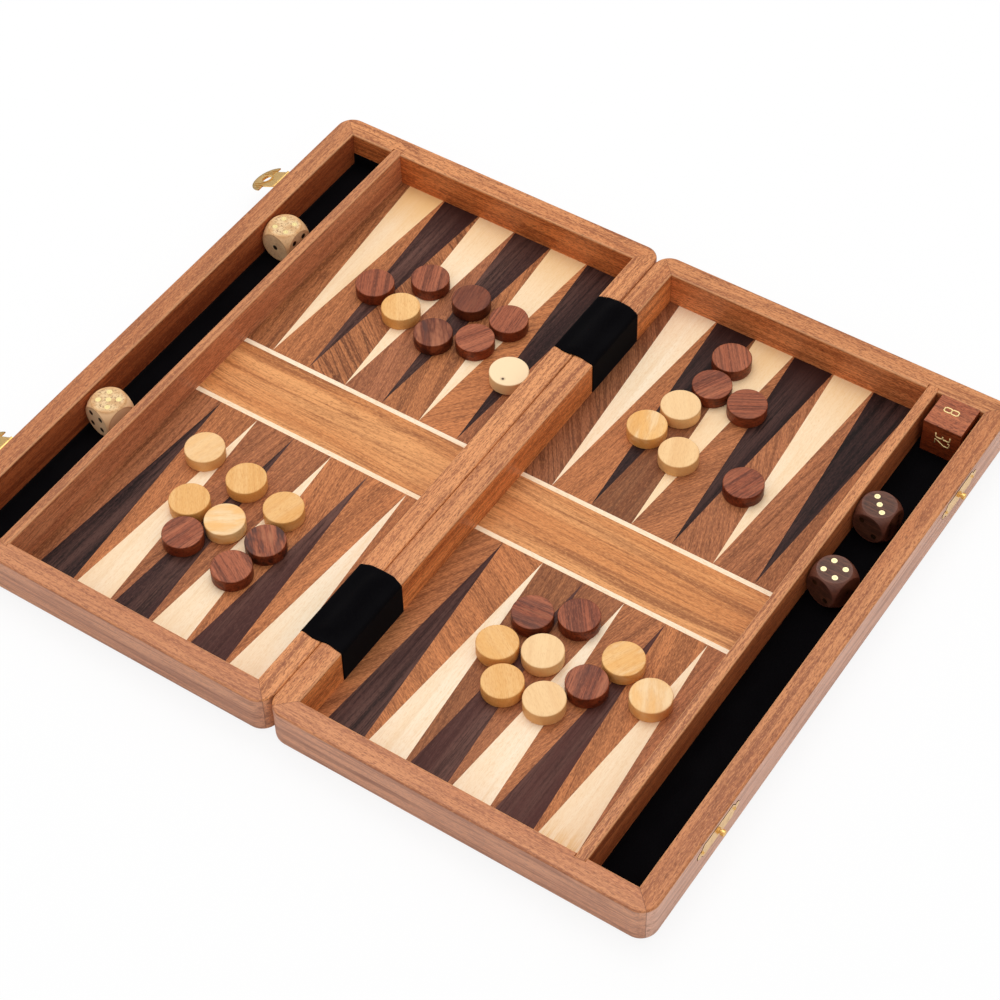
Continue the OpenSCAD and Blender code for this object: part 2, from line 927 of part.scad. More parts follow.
module pale_checkers_far_left() {
    color("sandybrown") checkers(-1, 1, [0.816, 0.55], pale_far_left(), dark_far_left());
}

module dark_checkers_near_left() {
    color("saddlebrown") checkers(-1, -1, [0.342, 0.488], dark_near_left(), pale_near_left());
}

module pale_checkers_near_left() {
    color("sandybrown") checkers(-1, -1, [0.342, 0.488], pale_near_left(), dark_near_left());
}

module dark_checkers_far_right() {
    color("saddlebrown") checkers(1, 1, [0.413, 0.817], dark_far_right(), pale_far_right());
}

module pale_checkers_far_right() {
    color("sandybrown") checkers(1, 1, [0.413, 0.817], pale_far_right(), dark_far_right());
}

module dark_checkers_near_right() {
    color("saddlebrown") checkers(1, -1, [0.788, 0.626], dark_near_right(), pale_near_right());
}

module pale_checkers_near_right() {
    color("sandybrown") checkers(1, -1, [0.788, 0.626], pale_near_right(), dark_near_right());
}

// Dice lie in the channels, at a share of the spare width and of the length from the middle to a wall
module at_die(side, share_x, share_y, turn) {
    spare = channel_width - die_side;
    middle_x = side * channel_middle + (share_x - 0.5) * spare;
    on_board() translate([middle_x, share_y * wall_y, lining_top + die_side / 2]) rotate(turn) children();
}

// Where the pips of each number lie on a face, as shares of the spread
function pip_spots(number) =
    concat(number % 2 == 1 ? [[0, 0]] : [], number > 1 ? [[-1, 1], [1, -1]] : [],
    number > 3 ? [[1, 1], [-1, -1]] : [], number == 6 ? [[0, 1], [0, -1]] : []);

// Turns from the top face to the faces of a die: top, bottom, far, near, right, left
function face_turns() = [[0, 0, 0], [180, 0, 0], [-90, 0, 0], [90, 0, 0], [0, 90, 0], [0, -90, 0]];

// Numbers on the six faces of a die, whose opposite faces add up to seven
function face_numbers(top, near, right) = [top, 7 - top, 7 - near, near, right, 7 - right];

module at_pips(numbers) {
    for (face = [0 : 5]) {
        for (spot = pip_spots(numbers[face])) {
            rotate(face_turns()[face])
                translate([spot[0] * pip_spread, spot[1] * pip_spread, die_side / 2]) children();
        }
    }
}

// Die: a cube whose corners and edges are rounded off by a ball, with a socket for each pip
module die(numbers) {
    difference() {
        intersection() {
            cube(die_side, center = true);
            sphere(d = die_ball);
        }
        at_pips(numbers) translate([0, 0, -pip_depth - pip_clearance])
            cylinder(r = pip_radius + pip_clearance, h = pip_depth + over);
    }
}

// Brass pip with a dimple in its face
module pips(numbers) {
    at_pips(numbers) difference() {
        translate([0, 0, -pip_depth]) cylinder(r = pip_radius, h = pip_depth);
        translate([0, 0, dimple_ball - dimple_depth]) sphere(dimple_ball);
    }
}

module at_dark_die_far() {
    at_die(1, 0.134, 0.5135, -5) children();
}

module at_dark_die_near() {
    at_die(1, 0.28, 0.2257, -15) children();
}

module at_pale_die_far() {
    at_die(-1, 0.146, 0.5277, -3) children();
}

module at_pale_die_near() {
    at_die(-1, 0.244, -0.3894, -12) children();
}

module dark_die_far() {
    color("saddlebrown") at_dark_die_far() die(face_numbers(3, 2, 6));
}

module dark_die_far_pips() {
    color("gold") at_dark_die_far() pips(face_numbers(3, 2, 6));
}

module dark_die_near() {
    color("saddlebrown") at_dark_die_near() die(face_numbers(4, 2, 1));
}

module dark_die_near_pips() {
    color("gold") at_dark_die_near() pips(face_numbers(4, 2, 1));
}

module pale_die_far() {
    color("wheat") at_pale_die_far() die(face_numbers(4, 1, 5));
}

module pale_die_far_pips() {
    color("gold") at_pale_die_far() pips(face_numbers(4, 1, 5));
}

module pale_die_near() {
    color("wheat") at_pale_die_near() die(face_numbers(5, 4, 1));
}

module pale_die_near_pips() {
    color("gold") at_pale_die_near() pips(face_numbers(5, 4, 1));
}

module doubling_cube() {
    middle_y = wall_y - cube_wall_gap - cube_side / 2;
    color("firebrick") on_board()
        translate([channel_middle + cube_offset, middle_y, lining_top + cube_side / 2])
            cube(cube_side, center = true);
}

left_outer_rail();
left_spine_rail();
left_far_rail();
left_near_rail();
left_divider();
left_base();
left_ground();
left_pale_points();
left_dark_points();
left_stringing();
left_band();
left_lining();
right_outer_rail();
right_spine_rail();
right_far_rail();
right_near_rail();
right_divider();
right_base();
right_ground();
right_pale_points();
right_dark_points();
right_stringing();
right_band();
right_lining();
left_hinge_leaves();
right_hinge_leaves();
hinge_pins();
left_hinge_screws();
right_hinge_screws();
near_cover_left();
near_cover_right();
far_cover_left();
far_cover_right();
near_hasp();
far_hasp();
hasp_plates();
hasp_pins();
catch_plates();
catch_studs();
left_latch_nails();
right_latch_nails();
dark_checkers_far_left();
pale_checkers_far_left();
dark_checkers_near_left();
pale_checkers_near_left();
dark_checkers_far_right();
pale_checkers_far_right();
dark_checkers_near_right();
pale_checkers_near_right();
dark_die_far();
dark_die_near();
pale_die_far();
pale_die_near();
dark_die_far_pips();
dark_die_near_pips();
pale_die_far_pips();
pale_die_near_pips();
doubling_cube();
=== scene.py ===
# Folding backgammon board: inlaid walnut case with velvet-lined channels, checkers, dice and doubling cube.
# Lengths are metres in the case's own frame: X across both halves, Y along the seam, Z up from the table.
import math
from collections import namedtuple

import bmesh
import bpy
from mathutils import Matrix, Vector
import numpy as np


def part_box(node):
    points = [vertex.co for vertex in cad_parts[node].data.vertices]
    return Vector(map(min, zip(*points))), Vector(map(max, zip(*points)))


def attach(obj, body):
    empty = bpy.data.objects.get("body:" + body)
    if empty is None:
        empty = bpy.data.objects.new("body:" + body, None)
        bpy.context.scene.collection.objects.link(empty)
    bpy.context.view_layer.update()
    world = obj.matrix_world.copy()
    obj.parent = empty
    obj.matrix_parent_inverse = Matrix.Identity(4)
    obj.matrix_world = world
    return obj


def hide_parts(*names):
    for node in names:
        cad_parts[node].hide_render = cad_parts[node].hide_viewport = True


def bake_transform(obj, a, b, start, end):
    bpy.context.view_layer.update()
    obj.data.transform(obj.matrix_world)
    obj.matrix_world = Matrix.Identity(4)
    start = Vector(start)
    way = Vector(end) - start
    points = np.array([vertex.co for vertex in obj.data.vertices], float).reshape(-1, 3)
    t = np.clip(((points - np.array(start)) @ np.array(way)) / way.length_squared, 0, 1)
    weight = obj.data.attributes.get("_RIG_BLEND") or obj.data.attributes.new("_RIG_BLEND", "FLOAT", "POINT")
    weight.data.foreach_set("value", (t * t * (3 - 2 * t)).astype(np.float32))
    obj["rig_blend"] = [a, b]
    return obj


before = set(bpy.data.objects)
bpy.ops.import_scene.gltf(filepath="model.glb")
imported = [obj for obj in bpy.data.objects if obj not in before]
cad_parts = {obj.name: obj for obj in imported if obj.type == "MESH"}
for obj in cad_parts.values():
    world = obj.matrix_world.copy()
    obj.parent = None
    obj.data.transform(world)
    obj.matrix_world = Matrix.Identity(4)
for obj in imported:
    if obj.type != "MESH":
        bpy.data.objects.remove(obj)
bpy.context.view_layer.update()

# Sizes of the case

MM = 0.001
pins_low, pins_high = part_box("hinge_pins")
ground_low, ground_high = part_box("right_ground")
points_low, points_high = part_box("right_pale_points")
SEAM_X = (pins_low.x + pins_high.x) / 2
PIN_Z = (pins_low.z + pins_high.z) / 2
RIM_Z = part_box("right_divider")[1].z
HALF_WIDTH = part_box("right_outer_rail")[1].x - SEAM_X
HALF_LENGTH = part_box("right_far_rail")[1].y
SPINE_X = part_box("right_spine_rail")[0].x - SEAM_X
FIELD_START = ground_low.x - SEAM_X
FIELD_TOP = ground_high.z
WALL_Y = ground_high.y
RAIL_WIDTH = HALF_LENGTH - WALL_Y
CORNER_RADIUS = 10 * MM
POINT_COUNT = 6
POINT_GAP = 1 * MM
POINT_PITCH = (points_high.x - points_low.x + POINT_GAP) / POINT_COUNT
POINTS_START = points_low.x - SEAM_X - POINT_GAP / 2


# Materials

def colour(red, green, blue):
    """Linear colour from the values 0 to 255 that a screen shows."""
    def linear(value):
        share = value / 255
        return share / 12.92 if share <= 0.04045 else ((share + 0.055) / 1.055) ** 2.4
    return linear(red), linear(green), linear(blue), 1.0


class Wire:
    """Output of a node. Arithmetic on it adds Math nodes."""

    def __init__(self, wiring, socket):
        self.wiring = wiring
        self.socket = socket

    def __getitem__(self, output):
        return Wire(self.wiring, self.socket.node.outputs[output])

    def math(self, operation, *values):
        return self.wiring.add("Math", {"operation": operation}, dict(enumerate(values)))

    def __add__(self, other):
        return self.math("ADD", self, other)

    def __sub__(self, other):
        return self.math("SUBTRACT", self, other)

    def __rsub__(self, other):
        return self.math("SUBTRACT", other, self)

    def __mul__(self, other):
        return self.math("MULTIPLY", self, other)

    def __truediv__(self, other):
        return self.math("DIVIDE", self, other)

    def __gt__(self, other):
        return self.math("GREATER_THAN", self, other)

    def __abs__(self):
        return self.math("ABSOLUTE", self)

    def __floor__(self):
        return self.math("FLOOR", self)

    __radd__ = __add__
    __rmul__ = __mul__

    def least(self, other):
        return self.math("MINIMUM", self, other)

    def most(self, other):
        return self.math("MAXIMUM", self, other)

    def root(self):
        return self.math("SQRT", self)

    def fraction(self):
        return self.math("FRACT", self)


class Wiring:
    """Node tree of a finish or of the studio's light."""

    def __init__(self, tree):
        self.tree = tree

    def feed(self, socket, value):
        """Links a wire to a socket, or sets the socket's own value."""
        if isinstance(value, Wire):
            self.tree.links.new(value.socket, socket)
        else:
            socket.default_value = value

    def add(self, kind, settings=None, sockets=None, output=0):
        """Adds a node: its settings first, then the values or links of its sockets."""
        node = self.tree.nodes.new("ShaderNode" + kind)
        for name, value in (settings or {}).items():
            setattr(node, name, value)
        for name, value in (sockets or {}).items():
            self.feed(node.inputs[name], value)
        return Wire(self, node.outputs[output])

    def split(self, place):
        """Wire whose outputs are the X, Y and Z of a place."""
        return self.add("SeparateXYZ", None, {0: place})


class Finish(Wiring):
    """Material whose nodes end in one Principled shader, with its even values on the shader's own sockets."""

    def __init__(self, name, even):
        self.material = bpy.data.materials.new(name)
        self.material.use_nodes = True
        super().__init__(self.material.node_tree)
        self.shader = self.tree.nodes["Principled BSDF"]
        self.shade(even)

    def shade(self, sockets):
        """Feeds sockets of the shader."""
        for name, value in sockets.items():
            self.feed(self.shader.inputs[name], value)

    def place(self):
        """Place of a point of the surface in the case's own frame, with the case at rest."""
        return self.add("TexCoord", output="Object")

    def attribute(self, name, output="Vector"):
        """Attribute that a new piece carries on its points."""
        return self.add("Attribute", {"attribute_name": name}, output=output)

    def vector(self, operation, *vectors):
        return self.add("VectorMath", {"operation": operation}, dict(enumerate(vectors)))

    def length(self, vector):
        return self.vector("LENGTH", vector)["Value"]

    def noise(self, place, frequency, detail=2.0, roughness=0.5):
        """Smooth noise from 0 to 1, with so many waves a metre along X, Y and Z."""
        stretched = self.vector("MULTIPLY", place, frequency)
        sockets = {"Vector": stretched, "Scale": 1.0, "Detail": detail, "Roughness": roughness}
        return self.add("TexNoise", None, sockets)

    def rise(self, value, low, high):
        """0 below low, 1 above high, and a smooth rise between."""
        return self.add("MapRange", {"interpolation_type": "SMOOTHSTEP"}, {0: value, 1: low, 2: high})

    def mix(self, share, first, second):
        """Colour between first, at share 0 or less, and second, at share 1."""
        return self.add("Mix", {"data_type": "RGBA"}, {0: share, 6: first, 7: second}, output=2)

    def tinted(self, share, base, filter_colour):
        """Colour multiplied by a filter, as far as share says."""
        return self.add("Mix", {"data_type": "RGBA", "blend_type": "MULTIPLY"},
                        {0: share, 6: base, 7: filter_colour}, output=2)

    def chosen(self, number, rows):
        """Four wires with the values, from 0 to 1, of the row in a list that a whole number from 0 picks."""
        picked = self.add("ValToRGB", None, {0: (number + 0.5) / len(rows)})
        ramp = picked.socket.node.color_ramp
        ramp.interpolation = "CONSTANT"
        ramp.elements.remove(ramp.elements[1])
        for place, row in enumerate(rows):
            stop = ramp.elements.new(place / len(rows)) if place else ramp.elements[0]
            stop.color = row
        split = self.split(picked)
        return split["X"], split["Y"], split["Z"], picked["Alpha"]

    def bump(self, height, depth):
        return self.add("Bump", None, {"Height": height, "Distance": depth, "Strength": 1.0})


Timber = namedtuple("Timber", "light warm dark pore")
WALNUT = Timber(colour(230, 156, 100), colour(208, 131, 79), colour(144, 80, 45), colour(92, 48, 26))
BAND_WALNUT = Timber(colour(234, 164, 102), colour(214, 138, 78), colour(146, 84, 42), colour(112, 64, 34))
PANEL_WOOD = Timber(colour(176, 118, 80), colour(156, 98, 64), colour(124, 76, 50), colour(84, 50, 34))
MAPLE = Timber(colour(254, 234, 206), colour(252, 226, 192), colour(240, 204, 158), colour(222, 176, 120))
WENGE = Timber(colour(120, 84, 72), colour(72, 46, 42), colour(24, 15, 14), colour(16, 10, 10))
BEECH = Timber(colour(242, 194, 130), colour(234, 178, 108), colour(214, 148, 80), colour(190, 126, 64))
STAINED_BEECH = Timber(colour(182, 105, 73), colour(157, 83, 55), colour(86, 41, 29), colour(52, 24, 19))
ROSEWOOD = Timber(colour(106, 66, 48), colour(78, 44, 34), colour(36, 20, 17), colour(20, 11, 10))
MAHOGANY = Timber(colour(192, 112, 74), colour(160, 84, 54), colour(104, 50, 32), colour(60, 26, 16))

Grain = namedtuple("Grain", "figure rings lines streaks flecks pores")


def grain_at(finish, place, sway=2 * MM, fineness=1.0):
    """Patterns of wood with its fibres along X of place, which wander sideways by so much."""
    ring_count = 14
    wander = (finish.noise(place, (5, 12, 12), detail=1.0) - 0.5) * (4 * sway)
    swaying = finish.vector("ADD", place, finish.add("CombineXYZ", None, {"Y": wander, "Z": wander}))

    def fibres(along, across, detail=2.0, roughness=0.5):
        return finish.noise(swaying, (along, across * fineness, across * fineness), detail, roughness)

    growth = fibres(3, 60, detail=1.0) * ring_count
    return Grain(
        figure=fibres(5, 70),
        rings=finish.rise(abs(growth.fraction() - 0.5), 0.28, 0.5),
        lines=fibres(5, 210, roughness=0.6),
        streaks=fibres(22, 520, detail=3.0, roughness=0.7),
        flecks=finish.noise(swaying, (400, 1800, 1800), roughness=0.65),
        pores=finish.rise(finish.noise(swaying, (330, 1900, 1900), detail=1.0), 0.6, 0.7),
    )


def wood_colour(finish, timber, grain, streak=0.7, pore=0.3, fleck=0.5, line=0.8):
    """Colour of a timber: tone bands, growth rings, darker streaks, flecks both ways and dark pores."""
    bands = finish.mix(finish.rise(grain.figure, 0.38, 0.64), timber.light, timber.warm)
    ringed = finish.mix(grain.rings * (0.4 * streak), bands, timber.dark)
    lined = finish.mix(finish.rise(grain.lines, 0.5, 0.68) * (line * streak), ringed, timber.dark)
    streaked = finish.mix(finish.rise(grain.streaks, 0.47, 0.68) * (0.8 * streak), lined, timber.dark)
    paler = finish.mix(finish.rise(0.5 - grain.flecks, 0.0, 0.2) * fleck, streaked, timber.light)
    flecked = finish.mix(finish.rise(grain.flecks, 0.5, 0.7) * fleck, paler, timber.dark)
    return finish.mix(grain.pores * pore, flecked, timber.pore)


def lacquer(finish, base, grain, roughness, depth=0.05 * MM):
    """Thin satin coat over wood: the pores and flecks still show in its surface."""
    height = grain.flecks * 0.3 - grain.pores
    finish.shade({
        "Base Color": base,
        "Roughness": grain.streaks * 0.14 + (roughness - 0.07),
        "Normal": finish.bump(height, depth),
    })


BOARD_STEP = (0.31, 0.173, 0.097)


def board_place(finish, turn, board):
    """Place with fibres along X in a numbered board, turned so many degrees and cut from its own stock."""
    location = tuple(step * board for step in BOARD_STEP)
    rotation = (0, 0, -math.radians(turn))
    sockets = {"Vector": finish.place(), "Location": location, "Rotation": rotation}
    return finish.add("Mapping", None, sockets)


def even_wood(name, timber, turn, board, roughness=0.45, streak=0.7, line=0.8, sway=2 * MM):
    """Finish of a solid piece of wood, its fibres turned so many degrees from X."""
    finish = Finish(name, {"Specular IOR Level": 0.25})
    grain = grain_at(finish, board_place(finish, turn, board), sway)
    lacquer(finish, wood_colour(finish, timber, grain, streak, line=line), grain, roughness)
    return finish


RailPlace = namedtuple("RailPlace", "mitre inner_wall inner_edge outer_face")


def rail_place(finish):
    """Where a point of the frame lies: on a mitre, an inner wall, the rim's inner edge or an outer face."""
    split = finish.split(finish.place())
    from_seam = abs(split["X"] - SEAM_X)
    from_end = HALF_LENGTH - abs(split["Y"])
    depth = RIM_Z - split["Z"]
    from_side = (HALF_WIDTH - from_seam).least(from_seam - SPINE_X)
    from_outside = from_side.least(from_end)
    mitre = 1.0 - finish.rise(abs(from_side - from_end), 0.1 * MM, 0.35 * MM)
    in_frame = 1.0 - finish.rise(from_end, RAIL_WIDTH, RAIL_WIDTH + 0.2 * MM)
    inside = finish.rise(from_outside, RAIL_WIDTH - 0.6 * MM, RAIL_WIDTH - 0.1 * MM)
    eased = finish.rise(from_outside, RAIL_WIDTH - 1.1 * MM, RAIL_WIDTH - 0.8 * MM)
    edge = eased * finish.rise(depth, 0.05 * MM, 0.25 * MM) * (1.0 - finish.rise(depth, 0.7 * MM, 1.1 * MM))
    below = finish.rise(depth, 0.9 * MM, 1.8 * MM)
    short_side = (CORNER_RADIUS - from_side).most(0.0)
    short_end = (CORNER_RADIUS - from_end).most(0.0)
    within = CORNER_RADIUS - (short_side * short_side + short_end * short_end).root()
    outside = (1.0 - finish.rise(within, 0.2 * MM, 1.2 * MM)) * below
    foot = 1.0 - finish.rise(split["Z"], 1.5 * MM, 2.5 * MM)
    return RailPlace(mitre * in_frame, inside * below, edge, outside.most(foot))


# Tone of a rail, with the painted light and shade of its inner wall and the painted reflection on its outer
# face
RailToneAndLight = namedtuple("RailToneAndLight", "darkness pinkness wall_filter face_paleness")


def rail_finish(name, turn, board, tone):
    """Finish of a frame rail or divider, with its own painted light and shade on its inner wall and its own
    painted reflection on its outer face.
    """
    finish = Finish(name, {"Specular IOR Level": 0.3})
    grain = grain_at(finish, board_place(finish, turn, board))
    where = rail_place(finish)
    base = wood_colour(finish, WALNUT, grain, streak=1.0, pore=0.55, fleck=0.85)
    darker = finish.mix(tone.darkness, base, colour(136, 78, 46))
    pinker = finish.mix(tone.pinkness, darker, colour(196, 134, 106))
    # Painted shade on the inner wall; filter values above 1 paint light on it instead
    wall_lit_and_shaded = finish.tinted(where.inner_wall, pinker, (*tone.wall_filter, 1))
    # Painted highlight along the rounded inner edge of the rim
    edge_highlighted = finish.mix(where.inner_edge * 0.45, wall_lit_and_shaded, colour(240, 180, 130))
    # Painted reflection of the white floor, pale and pinkish, on the outer face and the foot
    face_reflected = finish.mix(where.outer_face * tone.face_paleness, edge_highlighted, colour(236, 190, 168))
    face_streaks = finish.rise(grain.lines, 0.48, 0.66) * 0.3 + finish.rise(grain.streaks, 0.48, 0.66) * 0.35
    face_reflected = finish.mix(where.outer_face * face_streaks, face_reflected, colour(138, 84, 60))
    lacquer(finish, finish.mix(where.mitre * 0.55, face_reflected, WALNUT.pore), grain, roughness=0.42)
    return finish


def inlay_number(finish, start, per_quadrant):
    """Number of an inlaid piece from the spine out: near left first, then far left, near right, far right."""
    split = finish.split(finish.place())
    step = math.floor((abs(split["X"] - SEAM_X) - start) / POINT_PITCH)
    return step + (split["Y"] > 0.0) * per_quadrant + (split["X"] > SEAM_X) * (2 * per_quadrant)


def inlay_place(finish, number, angle):
    """Place with fibres along X in an inlaid piece, turned back by an angle and cut from its own sheet."""
    sockets = {"Vector": finish.place(), "Angle": angle}
    turned = finish.add("VectorRotate", {"rotation_type": "Z_AXIS"}, sockets)
    shift = finish.add("CombineXYZ", None, {"X": number * 0.37, "Y": number * 0.61, "Z": number * 0.23})
    return finish.vector("ADD", turned, shift)


# Each point from the spine out: depth and warmth of its tone, share of painted shade near the wall, and share
# of flecks near the wall
NEAR_LEFT_POINTS = ((0.0, 0.0, 0.1, 0.0), (0.25, 0.5, 0.1, 0.0), (0.2, 0.1, 0.1, 0.0),
                    (0.45, 0.15, 0.1, 0.0), (0.2, 0.1, 0.1, 0.0), (0.7, 0.0, 0.0, 0.0))
FAR_LEFT_POINTS = ((0.75, 0.1, 0.3, 0.0), (0.35, 0.1, 0.7, 0.0), (0.4, 0.1, 0.7, 0.0),
                   (0.25, 0.05, 0.6, 0.0), (0.3, 0.25, 1.0, 0.0), (0.5, 0.3, 1.0, 0.0))
NEAR_RIGHT_POINTS = ((0.6, 0.3, 0.0, 0.0), (0.1, 0.0, 0.0, 0.0), (0.3, 0.6, 0.0, 0.0),
                     (0.05, 0.0, 0.0, 0.0), (0.4, 0.7, 0.0, 0.0), (0.2, 0.1, 0.15, 1.0))
FAR_RIGHT_POINTS = ((0.1, 0.0, 0.1, 0.0), (0.9, 0.0, 0.8, 0.0), (0.5, 0.3, 0.6, 0.0),
                    (0.9, 0.1, 1.0, 0.0), (0.35, 0.1, 0.6, 0.0), (0.95, 0.0, 0.1, 0.0))
POINT_LOOKS = NEAR_LEFT_POINTS + FAR_LEFT_POINTS + NEAR_RIGHT_POINTS + FAR_RIGHT_POINTS


def point_finish(name, timber, streak, deep_filter, warm, wall_shade_and_patch):
    """Finish of the pointed inlays, whose fibres run the long way, each at a slightly different slant."""
    finish = Finish(name, {"Specular IOR Level": 0.12})
    number = inlay_number(finish, POINTS_START, POINT_COUNT)
    depth, warmth, wall_shade, flecked = finish.chosen(number, POINT_LOOKS)
    angle = math.radians(-90) + (depth - 0.4) * math.radians(4)
    grain = grain_at(finish, inlay_place(finish, number, angle), sway=1 * MM, fineness=1.2)
    tone = wood_colour(finish, timber, grain, streak, pore=0.2, fleck=0.45)
    tone = finish.tinted(depth, tone, deep_filter)
    tone = finish.mix(warmth * (finish.rise(grain.figure, 0.3, 0.6) * 0.5 + 0.3), tone, warm)
    from_wall = WALL_Y - abs(finish.split(finish.place())["Y"])
    # Painted shade near the wall; the patch of flecks below takes the same colour
    tone = finish.mix((1.0 - finish.rise(from_wall, 0.0, 45 * MM)) * wall_shade * 0.8, tone, wall_shade_and_patch)
    patch = (1.0 - finish.rise(from_wall, 8 * MM, 26 * MM)) * flecked
    tone = finish.mix(patch * finish.rise(grain.streaks, 0.4, 0.6) * 0.7, tone, wall_shade_and_patch)
    lacquer(finish, tone, grain, roughness=0.45, depth=0.02 * MM)
    return finish


# Each wedge of ground from the spine out: darkness, pinkness, slant in degrees and boldness of its rings
NEAR_LEFT_WEDGES = ((0.25, 0.1, 0, 0.2), (0.0, 0.1, -8, 0.1), (0.15, 0.1, 10, 0.2), (0.45, 0.4, -5, 0.3),
                    (0.45, 0.4, -8, 0.3), (0.2, 0.1, 4, 0.2), (0.65, 0.3, 2, 0.6))
FAR_LEFT_WEDGES = ((0.55, 0.4, 5, 0.4), (0.05, 0.0, -40, 0.0), (0.35, 0.1, 15, 0.5), (0.6, 0.6, 12, 0.1),
                   (0.4, 0.1, 55, 1.0), (0.25, 0.1, 5, 0.2), (0.5, 0.0, 3, 0.6))
NEAR_RIGHT_WEDGES = ((0.35, 0.0, -30, 0.3), (0.1, 0.0, 60, 0.1), (0.75, 0.1, 8, 0.3), (0.65, 0.3, -5, 0.2),
                     (0.35, 0.2, -15, 0.3), (0.2, 0.0, 10, 0.1), (0.4, 0.4, -5, 0.3))
FAR_RIGHT_WEDGES = ((0.85, 0.3, 35, 0.8), (0.25, 0.1, -10, 0.1), (1.0, 0.1, 0, 0.5), (0.35, 0.2, -30, 0.3),
                    (0.5, 0.4, 20, 0.3), (0.5, 0.4, -6, 0.5), (0.55, 0.2, 4, 0.3))
WEDGE_LOOKS = NEAR_LEFT_WEDGES + FAR_LEFT_WEDGES + NEAR_RIGHT_WEDGES + FAR_RIGHT_WEDGES


def ground_finish(name):
    """Finish of the wedges between the points: each was cut from another sheet and lies at its own slant."""
    finish = Finish(name, {"Specular IOR Level": 0.15})
    number = inlay_number(finish, POINTS_START - POINT_PITCH / 2, POINT_COUNT + 1)
    rows = [(dark, pink, (slant + 90) / 180, bold) for dark, pink, slant, bold in WEDGE_LOOKS]
    darkness, pinkness, slant, boldness = finish.chosen(number, rows)
    place = inlay_place(finish, number, slant * -math.pi)
    grain = grain_at(finish, place, sway=3 * MM, fineness=1.2)
    light, shadow, deep = colour(226, 148, 92), colour(112, 62, 36), colour(64, 32, 20)
    orange, brown, rose = colour(210, 132, 80), colour(138, 88, 56), colour(178, 110, 84)
    tone = finish.mix(darkness, orange, brown)
    tone = finish.mix(pinkness * 0.7, tone, rose)
    tone = finish.mix(finish.rise(grain.figure, 0.36, 0.66) * 0.3, tone, shadow)
    tone = finish.mix(grain.rings * (boldness * 0.6 + 0.1), tone, deep)
    tone = finish.mix(finish.rise(grain.lines, 0.48, 0.64) * (boldness * 0.5 + 0.25), tone, shadow)
    tone = finish.mix(finish.rise(grain.streaks, 0.47, 0.68) * 0.5, tone, shadow)
    tone = finish.mix(finish.rise(0.5 - grain.flecks, 0.0, 0.2) * (0.6 - darkness * 0.4), tone, light)
    tone = finish.mix(finish.rise(grain.flecks, 0.5, 0.7) * 0.6, tone, shadow)
    tone = finish.mix(grain.pores * 0.35, tone, deep)
    lacquer(finish, tone, grain, roughness=0.45, depth=0.03 * MM)
    return finish


def turned_finish(name, timber, streak, blotch_colour, pale, side_shade_filter):
    """Finish of the checkers, which carry their own grain, tone, blotches, knot and sides as attributes; the
    sides are painted in shade.
    """
    finish = Finish(name, {"Specular IOR Level": 0.2})
    place = finish.attribute("grain")
    tone, blotch = finish.attribute("tone", "Fac"), finish.attribute("blotch", "Fac")
    grain = grain_at(finish, place, sway=1.5 * MM, fineness=1.5)
    base = wood_colour(finish, timber, grain, streak, pore=0.25, fleck=0.45)
    toned = finish.mix(finish.rise(tone, 0.5, 1.0) * 0.45, base, pale)
    toned = finish.mix(finish.rise(0.5 - tone, 0.0, 0.5) * 0.6, toned, timber.dark)
    cloud = finish.noise(place, (40, 150, 150), detail=3.0, roughness=0.6)
    toned = finish.mix(finish.rise(cloud, 0.46, 0.64) * blotch, toned, blotch_colour)
    toned = finish.mix(finish.rise(0.5 - cloud, 0.0, 0.18) * blotch, toned, pale)
    # A blotch below 0 bleaches the whole checker
    toned = finish.mix(blotch * -1.0, toned, pale)
    reach = finish.length(finish.attribute("knot"))
    heart = 1.0 - finish.rise(reach, 0.5 * MM, 1.1 * MM)
    halo = (1.0 - finish.rise(reach, 0.8 * MM, 2.2 * MM)) * 0.25
    toned = finish.mix(heart.most(halo), toned, colour(70, 40, 24))
    # Painted shade on the sides of the checker
    toned = finish.tinted(finish.attribute("side", "Fac"), toned, side_shade_filter)
    lacquer(finish, toned, grain, roughness=0.4, depth=0.03 * MM)
    return finish


def from_middle(finish, node):
    """Place measured from the middle of a piece."""
    low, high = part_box(node)
    return finish.vector("SUBTRACT", finish.place(), tuple((low + high) / 2))


def below_top(finish, node, start, end):
    """0 at the top of a piece and 1 below it, with a smooth rise between two depths."""
    return finish.rise(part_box(node)[1].z - finish.split(finish.place())["Z"], start, end)


# From the middle of a die to where its corners begin and to where they are all corner
DIE_FACE_REACH = 12.6 * MM
DIE_CORNER_REACH = 13.6 * MM


def die_finish(name, node):
    """Finish of a dark die, whose rounded corners are a little paler."""
    finish = Finish(name, {"Specular IOR Level": 0.3, "Coat Weight": 0.06, "Coat Roughness": 0.2})
    place = from_middle(finish, node)
    grain = grain_at(finish, place, sway=1 * MM, fineness=1.6)
    base = wood_colour(finish, ROSEWOOD, grain, streak=0.6)
    edge = finish.rise(finish.length(place), DIE_FACE_REACH, DIE_CORNER_REACH)
    toned = finish.mix(edge * 0.35, base, colour(122, 72, 58))
    lacquer(finish, toned, grain, roughness=0.36, depth=0.03 * MM)
    return finish


def cube_finish(name, node):
    """Finish of the doubling cube, whose sides are painted darker as shade."""
    finish = Finish(name, {"Specular IOR Level": 0.25})
    grain = grain_at(finish, finish.place(), sway=1 * MM, fineness=1.4)
    top = wood_colour(finish, MAHOGANY, grain, streak=0.6, pore=0.6, fleck=0.8)
    # Painted shade on the sides below the top
    on_side = below_top(finish, node, 0.2 * MM, 0.9 * MM)
    lacquer(finish, finish.tinted(on_side, top, (0.62, 0.4, 0.26, 1)), grain, roughness=0.4)
    return finish


